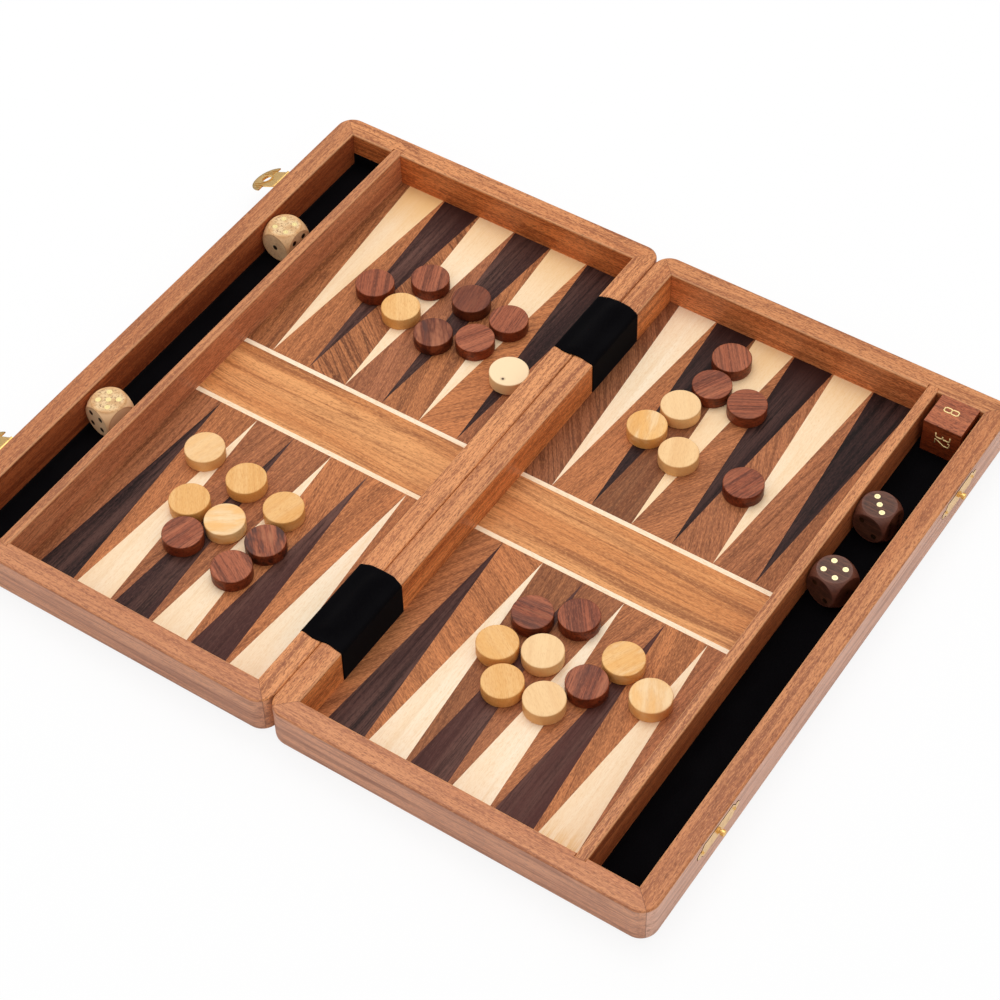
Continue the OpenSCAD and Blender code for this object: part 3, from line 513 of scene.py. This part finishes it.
def pip_finish(name, node, bright, dim):
    """Finish of the pips of a die, bright on the top face and with painted shade on the others."""
    finish = Finish(name, {"Metallic": 0.7, "Roughness": 0.3})
    on_side = below_top(finish, node, 0.8 * MM, 1.4 * MM)
    # Painted shade on the pips of the lower faces
    finish.shade({"Base Color": finish.mix(on_side, bright, dim)})
    return finish


def speckled_finish(name, node, side_light):
    """Finish of a pale die: cream wood cut across the grain, with brown specks, sides painted paler as light,
    warm corners.
    """
    cream, tan, brown = colour(234, 200, 150), colour(208, 162, 110), colour(146, 98, 62)
    side, corner = colour(255, 222, 176), colour(216, 158, 102)
    finish = Finish(name, {"Specular IOR Level": 0.4, "Roughness": 0.4})
    place = from_middle(finish, node)
    cloud = finish.noise(place, (260, 260, 260), detail=3.0, roughness=0.6)
    specks = finish.noise(place, (950, 950, 950), detail=2.0, roughness=0.6)
    tone = finish.mix(finish.rise(cloud, 0.38, 0.62) * 0.9, cream, tan)
    tone = finish.mix(finish.rise(specks, 0.52, 0.68) * 0.8, tone, brown)
    on_side = below_top(finish, node, 0.4 * MM, 1.4 * MM)
    # Sides painted paler as light
    tone = finish.mix(on_side * side_light, tone, side)
    edge = finish.rise(finish.length(place), DIE_FACE_REACH, DIE_CORNER_REACH)
    finish.shade({
        "Base Color": finish.mix(edge * 0.5, tone, corner),
        "Normal": finish.bump(specks, 0.02 * MM),
    })
    return finish


def brass_finish(name, metal, roughness, stain, painted_shade_place=None):
    """Brass with a little brown tarnish and fine scratches. Its last argument adds painted shade at a place
    of its own.
    """
    brown, dark = colour(150, 100, 52), colour(40, 22, 12)
    finish = Finish(name, {"Metallic": 1.0})
    place = finish.place()
    cloud = finish.noise(place, (260, 260, 260), detail=4.0, roughness=0.6)
    scratches = finish.noise(place, (5200, 900, 5200), detail=1.0)
    base = finish.mix(finish.rise(cloud, 0.5, 0.75) * stain, metal, brown)
    # Painted shade at the place that the last argument picks
    if painted_shade_place:
        base = finish.mix(painted_shade_place(finish), base, dark)
    finish.shade({
        "Base Color": base,
        "Roughness": cloud * 0.16 + (roughness - 0.08),
        "Normal": finish.bump(scratches, 0.01 * MM),
    })
    return finish


def plate_edge_shade(finish):
    """Painted shade on the edges of the catch plates, where the gap around them lies in shadow: nearly 1
    there, and 0 on their faces.
    """
    behind_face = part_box("catch_plates")[1].x - finish.split(finish.place())["X"]
    return finish.rise(behind_face, 0.04 * MM, 0.1 * MM) * 0.95


HASP_DROOP = math.radians(25)
HASP_MOON_CENTRE = 10 * MM
HASP_RIM_RADIUS = 10.2 * MM
HASP_RIBS = 4.8 * MM
HASP_RIB_PITCH = 1.6 * MM


def hasp_shade(node):
    """Painted shade of a hasp on the rolled rim of its half-moon and between its ribs."""
    low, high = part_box(node)
    pin_low, pin_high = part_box("hasp_pins")
    pin_x, pin_z = (pin_low.x + pin_high.x) / 2, (pin_low.z + pin_high.z) / 2

    def painted_shade_place(finish):
        split = finish.split(finish.place())
        across = abs(split["Y"] - (low.y + high.y) / 2)
        outward = (pin_x - split["X"]) * math.cos(HASP_DROOP) + (pin_z - split["Z"]) * math.sin(HASP_DROOP)
        beyond = outward - HASP_MOON_CENTRE
        reach = (across * across + beyond * beyond).root()
        rim = finish.rise(reach, HASP_RIM_RADIUS - 0.3 * MM, HASP_RIM_RADIUS + 0.1 * MM)
        turns = (across - HASP_RIBS) / HASP_RIB_PITCH
        groove = finish.rise(abs(turns.fraction() - 0.5), 0.3, 0.2)
        ribbed = (across > HASP_RIBS - HASP_RIB_PITCH / 2) * (beyond > 0.7 * MM)
        return (rim * (beyond > 0.0) * 0.35).most(groove * ribbed * 0.3)

    return painted_shade_place


def velvet_finish(name):
    """Black velvet: a dull short pile that catches a little light at a low angle."""
    finish = Finish(name, {"Sheen Weight": 0.02, "Sheen Roughness": 0.4, "Specular IOR Level": 0.05})
    place = finish.place()
    pile = finish.noise(place, (2600, 2600, 2600), detail=1.0)
    nap = finish.noise(place, (70, 40, 70), detail=3.0)
    lifted = finish.rise(pile * 0.6 + nap * 0.4, 0.35, 0.7)
    finish.shade({
        "Base Color": finish.mix(lifted, colour(2, 1, 3), colour(10, 9, 11)),
        "Roughness": nap * 0.1 + 0.85,
        "Normal": finish.bump(pile, 0.15 * MM),
    })
    return finish


def dress(node, finish):
    """Gives a piece of the case its finish."""
    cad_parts[node].material_slots[0].material = finish.material


# New pieces

def placed(name, data):
    """Makes a mesh, curve, lamp or camera an object of the scene."""
    holder = bpy.data.objects.new(name, data)
    bpy.context.collection.objects.link(holder)
    return holder


def plain_piece(name, mesh, finish):
    """Makes a bmesh an object at the origin with its finish."""
    data = bpy.data.meshes.new(name)
    mesh.to_mesh(data)
    mesh.free()
    data.materials.append(finish.material)
    return placed(name, data)


def finished_piece(name, mesh, finish, smooth=True):
    """Makes a bmesh a piece of the board with its finish and material slot."""
    piece = plain_piece(name, mesh, finish)
    if smooth:
        piece.data.shade_smooth()
    return piece


def solids_of(node):
    """Lowest and highest corner of each separate solid in a node of the case, from left to right."""
    copy = bmesh.new()
    copy.from_mesh(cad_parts[node].data)
    bmesh.ops.remove_doubles(copy, verts=copy.verts, dist=0.001 * MM)
    waiting = set(copy.verts)
    corners = []
    for first in copy.verts:
        if first not in waiting:
            continue
        waiting.remove(first)
        solid = [first]
        for vertex in solid:
            for edge in vertex.link_edges:
                other = edge.other_vert(vertex)
                if other in waiting:
                    waiting.remove(other)
                    solid.append(other)
        low = Vector(min(vertex.co[axis] for vertex in solid) for axis in range(3))
        high = Vector(max(vertex.co[axis] for vertex in solid) for axis in range(3))
        corners.append((low, high))
    copy.free()
    return sorted(corners, key=lambda corner: (round(corner[0].x, 5), round(corner[0].y, 5)))


CHECKER_SIDES = 72
CHECKER_EDGE = 0.7 * MM
# The stock lies so many times as far apart as the checkers cut from it
STOCK_SPREAD = 40
# So far from a knot that none shows
NO_KNOT = Vector((1, 0, 0))

# A checker's grain in degrees from X, its tone from 0 for dark to 1 for pale, its blotches, which bleach it
# when below 0, and the place of its knot in millimetres
Look = namedtuple("Look", "turn tone blotch knot", defaults=(0.0, None))


def checker(name, low, high, look, finish):
    """Turned checker in the place of one solid, which carries its look as attributes."""
    radius = (high.x - low.x) / 2
    thickness = high.z - low.z
    disc = bmesh.new()
    bmesh.ops.create_circle(disc, cap_ends=True, segments=CHECKER_SIDES, radius=radius)
    raised = bmesh.ops.extrude_face_region(disc, geom=disc.faces[:])["geom"]
    corners = [element for element in raised if isinstance(element, bmesh.types.BMVert)]
    bmesh.ops.translate(disc, verts=corners, vec=(0, 0, thickness))
    rims = [edge for edge in disc.edges if abs(edge.verts[0].co.z - edge.verts[1].co.z) < 0.01 * MM]
    bmesh.ops.bevel(disc, geom=rims, offset=CHECKER_EDGE, segments=4, profile=0.5,
                    affect="EDGES", material=-1)
    bmesh.ops.recalc_face_normals(disc, faces=disc.faces)
    for face in disc.faces:
        face.smooth = len(face.verts) < CHECKER_SIDES
    vectors, floats = disc.verts.layers.float_vector, disc.verts.layers.float
    grain, knot = vectors.new("grain"), vectors.new("knot")
    tone, blotch, side = floats.new("tone"), floats.new("blotch"), floats.new("side")
    turned_back = Matrix.Rotation(-math.radians(look.turn), 3, "Z")
    stock_place = Vector((low.x, low.y, 0)) * STOCK_SPREAD
    for vertex in disc.verts:
        vertex[grain] = turned_back @ vertex.co + stock_place
        vertex[knot] = vertex.co - Vector((*look.knot, thickness / MM)) * MM if look.knot else NO_KNOT
        # Band of the side, which the finish paints in shade
        vertex[side] = float(abs(vertex.co.z - thickness / 2) < (thickness - CHECKER_EDGE) / 2)
        vertex[tone] = look.tone
        vertex[blotch] = look.blotch
    foot = ((low.x + high.x) / 2, (low.y + high.y) / 2, low.z)
    bmesh.ops.translate(disc, verts=disc.verts, vec=foot)
    return finished_piece(name, disc, finish, smooth=False)


def cloth(name, shape, finish, thickness, across, along):
    """Sheet of cloth: a grid of so many squares, whose points, from 0 to 1 each way, shape puts in place."""
    sheet = bmesh.new()
    bmesh.ops.create_grid(sheet, x_segments=across, y_segments=along, size=0.5)
    for vertex in sheet.verts:
        vertex.co = shape(vertex.co.x + 0.5, vertex.co.y + 0.5)
    bmesh.ops.recalc_face_normals(sheet, faces=sheet.faces)
    piece = finished_piece(name, sheet, finish)
    pile = piece.modifiers.new("Pile", "SOLIDIFY")
    pile.thickness = thickness
    pile.offset = 0
    return piece


def fade(value, low, high):
    """0 below low, 1 above high, and a smooth rise between."""
    share = min(max((value - low) / (high - low), 0.0), 1.0)
    return share * share * (3 - 2 * share)


COVER_THICKNESS = 0.4 * MM
COVER_GAP = 0.23 * MM
COVER_BEND = 2 * MM
COVER_ARC = COVER_BEND * math.pi / 2
COVER_TOP = RIM_Z + COVER_GAP
COVER_WALL = FIELD_START + COVER_GAP
COVER_RUN = COVER_WALL - COVER_BEND
COVER_DROP = COVER_TOP - COVER_BEND - FIELD_TOP - COVER_GAP
COVER_REACH = COVER_RUN + COVER_ARC + COVER_DROP
COVER_FOLD = 2.5 * MM
COVER_PULL = 2 * MM
PULL_START = 6 * MM
COVER_WAVE = 0.5 * MM
WAVE_LENGTH = 2.6 * MM
HUMP_HEIGHT = 2.45 * MM
HUMP_REACH = 8.5 * MM
HUMP_RISE = (-5 * MM, 2 * MM)
HUMP_FALL = (-2 * MM, 12 * MM)


def cover_point(distance, hump):
    """Point of a hinge cover at a distance from the seam, measured over the rim and down the wall."""
    along = abs(distance)
    if along < COVER_RUN:
        swell = (1 + math.cos(math.pi * along / HUMP_REACH)) / 2 if along < HUMP_REACH else 0.0
        x, z = along, COVER_TOP + HUMP_HEIGHT * hump * swell
    elif along < COVER_RUN + COVER_ARC:
        angle = (along - COVER_RUN) / COVER_BEND
        x = COVER_RUN + COVER_BEND * math.sin(angle)
        z = COVER_TOP - COVER_BEND + COVER_BEND * math.cos(angle)
    else:
        x, z = COVER_WALL, COVER_TOP - COVER_BEND - (along - COVER_RUN - COVER_ARC)
    return math.copysign(x, distance), z


def hinge_cover(name, finish):
    """Velvet strip over one hinge, which lies across both spine rails and hangs down to the two fields."""
    low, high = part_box(name + "_right")
    leaves = [leaf for leaf in solids_of("right_hinge_leaves") if low.y < leaf[0].y < high.y]
    leaf_low, leaf_high = leaves[0][0].y, leaves[-1][1].y
    length = high.y - low.y

    def shape(u, v):
        y = low.y + v * length
        risen = fade(y, leaf_low + HUMP_RISE[0], leaf_low + HUMP_RISE[1])
        fallen = fade(y, leaf_high + HUMP_FALL[0], leaf_high + HUMP_FALL[1])
        x, z = cover_point((2 * u - 1) * COVER_REACH, risen - fallen)
        pulled = COVER_PULL * fade(abs(x), PULL_START, FIELD_START) * fade(v, 0.5, 1.0)
        wave = COVER_WAVE * math.sin(x / WAVE_LENGTH) * fade(1 - v, 0.7, 1.0)
        return Vector((SEAM_X + x, y - pulled + wave, z))

    piece = cloth(name, shape, finish, COVER_THICKNESS, across=150, along=60)
    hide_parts(name + "_left", name + "_right")
    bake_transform(piece, "left_half", "right_half",
             start=(SEAM_X - COVER_FOLD, 0, PIN_Z), end=(SEAM_X + COVER_FOLD, 0, PIN_Z))
    2 * COVER_REACH


LINING_THICKNESS = 0.7 * MM
LINING_BEND = 1.2 * MM
LINING_ARC = LINING_BEND * math.pi / 2


def channel_lining(side, finish):
    """Velvet laid in a channel. The left one turns up on the far wall."""
    node = side + "_lining"
    low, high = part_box(node)
    middle_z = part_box(side + "_base")[1].z + LINING_THICKNESS / 2
    turn_up = max(high.z - middle_z - LINING_THICKNESS, 0.0)
    bent = turn_up > LINING_BEND
    run = high.y - low.y - (LINING_BEND + LINING_THICKNESS / 2 if bent else 0.0)
    length = run + (LINING_ARC + turn_up - LINING_BEND if bent else 0.0)

    def shape(u, v):
        along = v * length
        if along <= run or not bent:
            y, z = along, 0.0
        elif along < run + LINING_ARC:
            angle = (along - run) / LINING_BEND
            y, z = run + LINING_BEND * math.sin(angle), LINING_BEND - LINING_BEND * math.cos(angle)
        else:
            y, z = run + LINING_BEND, LINING_BEND + along - run - LINING_ARC
        return Vector((low.x + u * (high.x - low.x), low.y + y, middle_z + z))

    piece = cloth(node + "_velvet", shape, finish, LINING_THICKNESS, across=12, along=400)
    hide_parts(node)
    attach(piece, side + "_half")


# Digits of the doubling cube as strokes, 2 units wide and 4 high
DIGIT_UNIT = Vector((1.65, 2.1, 0)) * MM
DIGIT_WIDTH = 2
DIGIT_HEIGHT = 4
DIGIT_ADVANCE = 2.8
DIGIT_LINE = 0.42 * MM
DIGIT_STROKES = {
    "1": ([(0.5, 3.2), (1.1, 4), (1.1, 0)],),
    "2": ([(0, 3.5), (0.4, 4), (1.6, 4), (2, 3.6), (2, 2.6), (0, 0), (2, 0)],),
    "3": ([(0, 4), (1.6, 4), (2, 3.6), (2, 2.4), (1.6, 2), (2, 1.6), (2, 0.4), (1.6, 0), (0, 0)],
          [(0.7, 2), (1.6, 2)]),
    "4": ([(1.5, 0), (1.5, 4), (0, 1.3), (2.1, 1.3)],),
    "6": ([(1.9, 3.7), (1.5, 4), (0.4, 4), (0, 3.5), (0, 0.4), (0.4, 0), (1.6, 0), (2, 0.4), (2, 1.8),
           (1.6, 2.2), (0.1, 2.2)],),
    "8": ([(1.7, 2), (2, 2.4), (2, 3.6), (1.6, 4), (0.4, 4), (0, 3.6), (0, 2.4), (0.3, 2), (0, 1.6),
           (0, 0.4), (0.4, 0), (1.6, 0), (2, 0.4), (2, 1.6), (1.7, 2), (0.4, 2)],),
}


def cube_number(cube, text, normal, up, shift, finish):
    """Number drawn in gilt strokes on one face of the doubling cube, shifted rightwards and upwards."""
    low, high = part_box(cube)
    writing = bpy.data.curves.new("number_" + text, "CURVE")
    writing.dimensions = "3D"
    writing.bevel_depth = DIGIT_LINE
    writing.bevel_resolution = 2
    writing.use_fill_caps = True
    width = DIGIT_ADVANCE * (len(text) - 1) + DIGIT_WIDTH
    for place, digit in enumerate(text):
        for stroke in DIGIT_STROKES[digit]:
            line = writing.splines.new("POLY")
            line.points.add(len(stroke) - 1)
            for point, (x, y) in zip(line.points, stroke, strict=True):
                across = (x + DIGIT_ADVANCE * place - width / 2) * DIGIT_UNIT.x + shift[0] * MM
                upwards = (y - DIGIT_HEIGHT / 2) * DIGIT_UNIT.y + shift[1] * MM
                point.co = (across, upwards, 0, 1)
    carrier = placed("number_" + text, writing)
    bpy.context.view_layer.update()
    outline = bpy.data.meshes.new_from_object(carrier.evaluated_get(bpy.context.evaluated_depsgraph_get()))
    bpy.data.objects.remove(carrier)
    normal, up = Vector(normal), Vector(up)
    turn = Matrix((up.cross(normal), up, normal)).transposed().to_4x4()
    middle = (low + high) / 2 + normal * (high.z - low.z) / 2
    digits = bmesh.new()
    digits.from_mesh(outline)
    bpy.data.meshes.remove(outline)
    bmesh.ops.remove_doubles(digits, verts=digits.verts, dist=0.002 * MM)
    bmesh.ops.transform(digits, matrix=Matrix.Translation(middle) @ turn, verts=digits.verts)
    bmesh.ops.recalc_face_normals(digits, faces=digits.faces)
    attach(finished_piece("cube_number_" + text, digits, finish), cube)


# Case

ACROSS, ALONG = 0, 90
rail_turns = {"outer_rail": ALONG, "spine_rail": ALONG, "divider": ALONG, "far_rail": ACROSS,
              "near_rail": ACROSS}
# Darkness and pinkness of each rail, painted light and shade of its inner wall, painted reflection on its
# outer face
rail_tones_and_light = {
    "left_outer_rail": RailToneAndLight(0.3, 0.05, (0.85, 0.56, 0.44), 0.3),
    "left_spine_rail": RailToneAndLight(0.0, 0.0, (1.0, 0.8, 0.65), 0.2),
    "left_divider": RailToneAndLight(0.3, 0.05, (1.2, 1.2, 1.4), 0.0),
    "left_far_rail": RailToneAndLight(0.05, 0.0, (1.03, 0.76, 0.54), 0.3),
    "left_near_rail": RailToneAndLight(0.25, 0.25, (0.9, 0.7, 0.6), 0.25),
    "right_outer_rail": RailToneAndLight(0.25, 0.05, (0.85, 0.65, 0.55), 0.7),
    "right_spine_rail": RailToneAndLight(0.1, 0.0, (1.35, 1.2, 0.95), 0.2),
    "right_divider": RailToneAndLight(0.1, 0.05, (0.85, 0.65, 0.55), 0.0),
    "right_far_rail": RailToneAndLight(0.2, 0.0, (1.22, 1.06, 0.94), 0.3),
    "right_near_rail": RailToneAndLight(0.15, 0.25, (0.9, 0.7, 0.6), 0.3),
}
pale_points = point_finish("maple_points", MAPLE, streak=0.4, deep_filter=(0.94, 0.84, 0.7, 1),
                           warm=colour(246, 212, 160), wall_shade_and_patch=colour(236, 186, 116))
dark_points = point_finish("wenge_points", WENGE, streak=1.0, deep_filter=(0.3, 0.28, 0.32, 1),
                           warm=colour(92, 48, 40), wall_shade_and_patch=colour(48, 22, 18))
ground = ground_finish("walnut_ground")
# Each piece is cut from a board of its own number, so that no two share their grain
first_boards = {"left": {"rails": 1, "base": 20, "band": 31, "stringing": 41},
                "right": {"rails": 8, "base": 21, "band": 32, "stringing": 42}}
for side, boards in first_boards.items():
    for board, (part, turn) in enumerate(rail_turns.items(), boards["rails"]):
        node = f"{side}_{part}"
        dress(node, rail_finish(node + "_walnut", turn, board, rail_tones_and_light[node]))
    panel_wood = even_wood(f"{side}_panel_wood", PANEL_WOOD, ALONG, boards["base"], roughness=0.55)
    band_walnut = even_wood(f"{side}_band_walnut", BAND_WALNUT, ACROSS, boards["band"],
                            line=1.2, sway=8 * MM)
    stringing_maple = even_wood(f"{side}_stringing_maple", MAPLE, ACROSS, boards["stringing"],
                                roughness=0.42, streak=0.3)
    dress(f"{side}_base", panel_wood)
    dress(f"{side}_band", band_walnut)
    dress(f"{side}_stringing", stringing_maple)
    dress(f"{side}_pale_points", pale_points)
    dress(f"{side}_dark_points", dark_points)
    dress(f"{side}_ground", ground)

# Brass

YELLOW_BRASS, PALE_BRASS = colour(240, 196, 120), colour(246, 212, 156)
fitting_brass = brass_finish("fitting_brass", YELLOW_BRASS, roughness=0.4, stain=0.35)
pin_brass = brass_finish("pin_brass", YELLOW_BRASS, roughness=0.35, stain=0.5)
for node in ("left_hinge_leaves", "right_hinge_leaves", "left_hinge_screws", "right_hinge_screws",
             "hasp_plates", "catch_studs", "left_latch_nails", "right_latch_nails"):
    dress(node, fitting_brass)
plate_brass = brass_finish("catch_plate_brass", PALE_BRASS, roughness=0.35, stain=0.35,
                           painted_shade_place=plate_edge_shade)
dress("catch_plates", plate_brass)
for node in ("near_hasp", "far_hasp"):
    hasp_brass = brass_finish(node + "_brass", YELLOW_BRASS, roughness=0.35, stain=0.3,
                              painted_shade_place=hasp_shade(node))
    dress(node, hasp_brass)
for node in ("hinge_pins", "hasp_pins"):
    dress(node, pin_brass)

# Velvet

velvet = velvet_finish("black_velvet")
hinge_cover("near_cover", velvet)
hinge_cover("far_cover", velvet)
channel_lining("left", velvet)
channel_lining("right", velvet)

# Checkers

checker_finishes = {
    "pale": turned_finish("beech_checkers", BEECH, streak=0.3, blotch_colour=colour(243, 180, 98),
                          pale=colour(252, 226, 184), side_shade_filter=(0.92, 0.8, 0.62, 1)),
    "dark": turned_finish("stained_checkers", STAINED_BEECH, streak=0.9, blotch_colour=colour(80, 50, 44),
                          pale=colour(176, 110, 78), side_shade_filter=(0.55, 0.36, 0.24, 1)),
}
# The checkers of each quadrant from left to right
checker_looks = {
    "dark_checkers_far_left": (Look(119, 0.6), Look(113, 0.55, 0.15), Look(128, 0.0, 0.8),
                               Look(100, 0.05, 0.2), Look(60, 0.6), Look(97, 0.6)),
    "pale_checkers_far_left": (Look(125, 0.5), Look(104, 1.0, -0.9, (0.4, -6.9))),
    "dark_checkers_near_left": (Look(75, 0.5, 0.3), Look(152, 0.6), Look(135, 0.5, 0.95)),
    "pale_checkers_near_left": (Look(75, 0.8, 0.2), Look(126, 0.45), Look(128, 0.5), Look(36, 0.95, 0.6),
                                Look(80, 0.35, 0.15)),
    "dark_checkers_far_right": (Look(127, 0.7), Look(62, 0.4, 0.25), Look(30, 0.65), Look(71, 0.5, 0.25)),
    "pale_checkers_far_right": (Look(108, 0.5, 0.4), Look(125, 0.9), Look(112, 0.8)),
    "dark_checkers_near_right": (Look(4, 0.4, 0.5), Look(128, 0.4), Look(104, 0.45, 0.4)),
    "pale_checkers_near_right": (Look(148, 0.5, 0.15), Look(131, 0.45), Look(117, 0.9), Look(141, 0.85),
                                 Look(67, 0.45, 0.3), Look(119, 0.8, 0.45)),
}
for quadrant in ("far_left", "near_left", "far_right", "near_right"):
    for shade, finish in checker_finishes.items():
        node = f"{shade}_checkers_{quadrant}"
        for count, ((low, high), look) in enumerate(zip(solids_of(node), checker_looks[node], strict=True)):
            name = f"{shade}_checker_{quadrant}_{count + 1}"
            piece = checker(name, low, high, look, finish)
            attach(piece, node)
            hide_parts(node)

# Dice and doubling cube

for node in ("dark_die_far", "dark_die_near"):
    dress(node, die_finish(node + "_rosewood", node))
    dress(node + "_pips", pip_finish(node + "_pip_brass", node, colour(255, 238, 182), colour(62, 42, 20)))
# Painted light on the sides of each pale die
for node, side_light in (("pale_die_far", 0.45), ("pale_die_near", 0.9)):
    dress(node, speckled_finish(node + "_cream_wood", node, side_light))
    dress(node + "_pips", pip_finish(node + "_pip_brass", node, colour(244, 222, 158), colour(36, 22, 14)))
dress("doubling_cube", cube_finish("cube_mahogany", "doubling_cube"))
# Outward and upward direction of each number, and its shift in millimetres
cube_faces = {
    "8": ((0, 0, 1), (1, 0, 0), (-2.0, -1.3)),
    "32": ((0, -1, 0), (1, 0, 0), (-2.0, 1.0)),
    "2": ((0, 1, 0), (0, 0, 1), (0, 0)),
    "4": ((-1, 0, 0), (0, 0, 1), (0, 0)),
    "16": ((1, 0, 0), (0, 1, 0), (0, 0)),
    "64": ((0, 0, -1), (0, 1, 0), (0, 0)),
}
gilding = Finish("gilding", {"Base Color": colour(255, 226, 160), "Metallic": 0.3, "Roughness": 0.4})
for text, (normal, up, shift) in cube_faces.items():
    cube_number("doubling_cube", text, normal, up, shift, gilding)

# Floor, light and camera

WHITE = (1, 1, 1, 1)
FLOOR_GREY = (0.9, 0.9, 0.9, 1)
FLOOR_REACH = 4
FLOOR_GLOW = 0.86
SIDE_LEVEL, TOP_LEVEL = 0.3, 1.15
LAMP_SIZE = 1.2
LAMP_WATTS = 12
LAMP_PLACE = Vector((-0.4, 0.5, 2.0))
LENS = 93 * MM
SENSOR = 36 * MM
CAMERA_PLACE = (SEAM_X + 0.52644, -0.73962, 1.0577)
CAMERA_TURN = (40.514, 1.0336, 33.5386)


def studio_floor():
    """Pale floor that shows nearly plain white to the camera, apart from a soft shadow."""
    plane = bmesh.new()
    bmesh.ops.create_grid(plane, x_segments=1, y_segments=1, size=FLOOR_REACH)
    paint = Finish("floor_paint", {"Base Color": FLOOR_GREY, "Roughness": 0.9})
    seen = paint.add("LightPath", output="Is Camera Ray")
    glow = paint.add("Emission", None, {"Color": WHITE, "Strength": 1.0})
    painted = Wire(paint, paint.shader.outputs[0])
    blend = paint.add("MixShader", None, {0: seen * FLOOR_GLOW, 1: painted, 2: glow})
    paint.feed(paint.tree.nodes["Material Output"].inputs["Surface"], blend)
    floor = plain_piece("floor", plane, paint)


def studio_light():
    """Dome, bright above and dim at the sides, which the camera sees as white, and a wide lamp overhead."""
    world = bpy.data.worlds.new("studio")
    bpy.context.scene.world = world
    world.use_nodes = True
    sky = Wiring(world.node_tree)
    height = sky.split(sky.add("TexCoord", output="Generated"))["Z"]
    dome = sky.add("MapRange", None, {"Value": height, "To Min": SIDE_LEVEL, "To Max": TOP_LEVEL})
    path = sky.add("LightPath")
    seen = path["Is Camera Ray"].most(path["Is Transmission Ray"])
    level = sky.add("MapRange", None, {"Value": seen, "To Min": dome, "To Max": 1.0})
    background = sky.tree.nodes["Background"]
    sky.feed(background.inputs["Color"], WHITE)
    sky.feed(background.inputs["Strength"], level)
    lamp = bpy.data.lights.new("overhead", "AREA")
    lamp.shape = "SQUARE"
    lamp.size = LAMP_SIZE
    lamp.energy = LAMP_WATTS
    holder = placed("overhead", lamp)
    holder.location = LAMP_PLACE
    holder.rotation_euler = (-LAMP_PLACE).to_track_quat("-Z", "Y").to_euler()


def photo_camera():
    """Camera that was solved from the outlines of both halves in the photograph."""
    camera = bpy.data.cameras.new("camera")
    camera.lens = LENS / MM
    camera.sensor_width = SENSOR / MM
    holder = placed("camera", camera)
    holder.location = CAMERA_PLACE
    holder.rotation_euler = [math.radians(angle) for angle in CAMERA_TURN]
    bpy.context.scene.camera = holder


studio_floor()
studio_light()
photo_camera()
bpy.context.scene.view_settings.view_transform = "Standard"
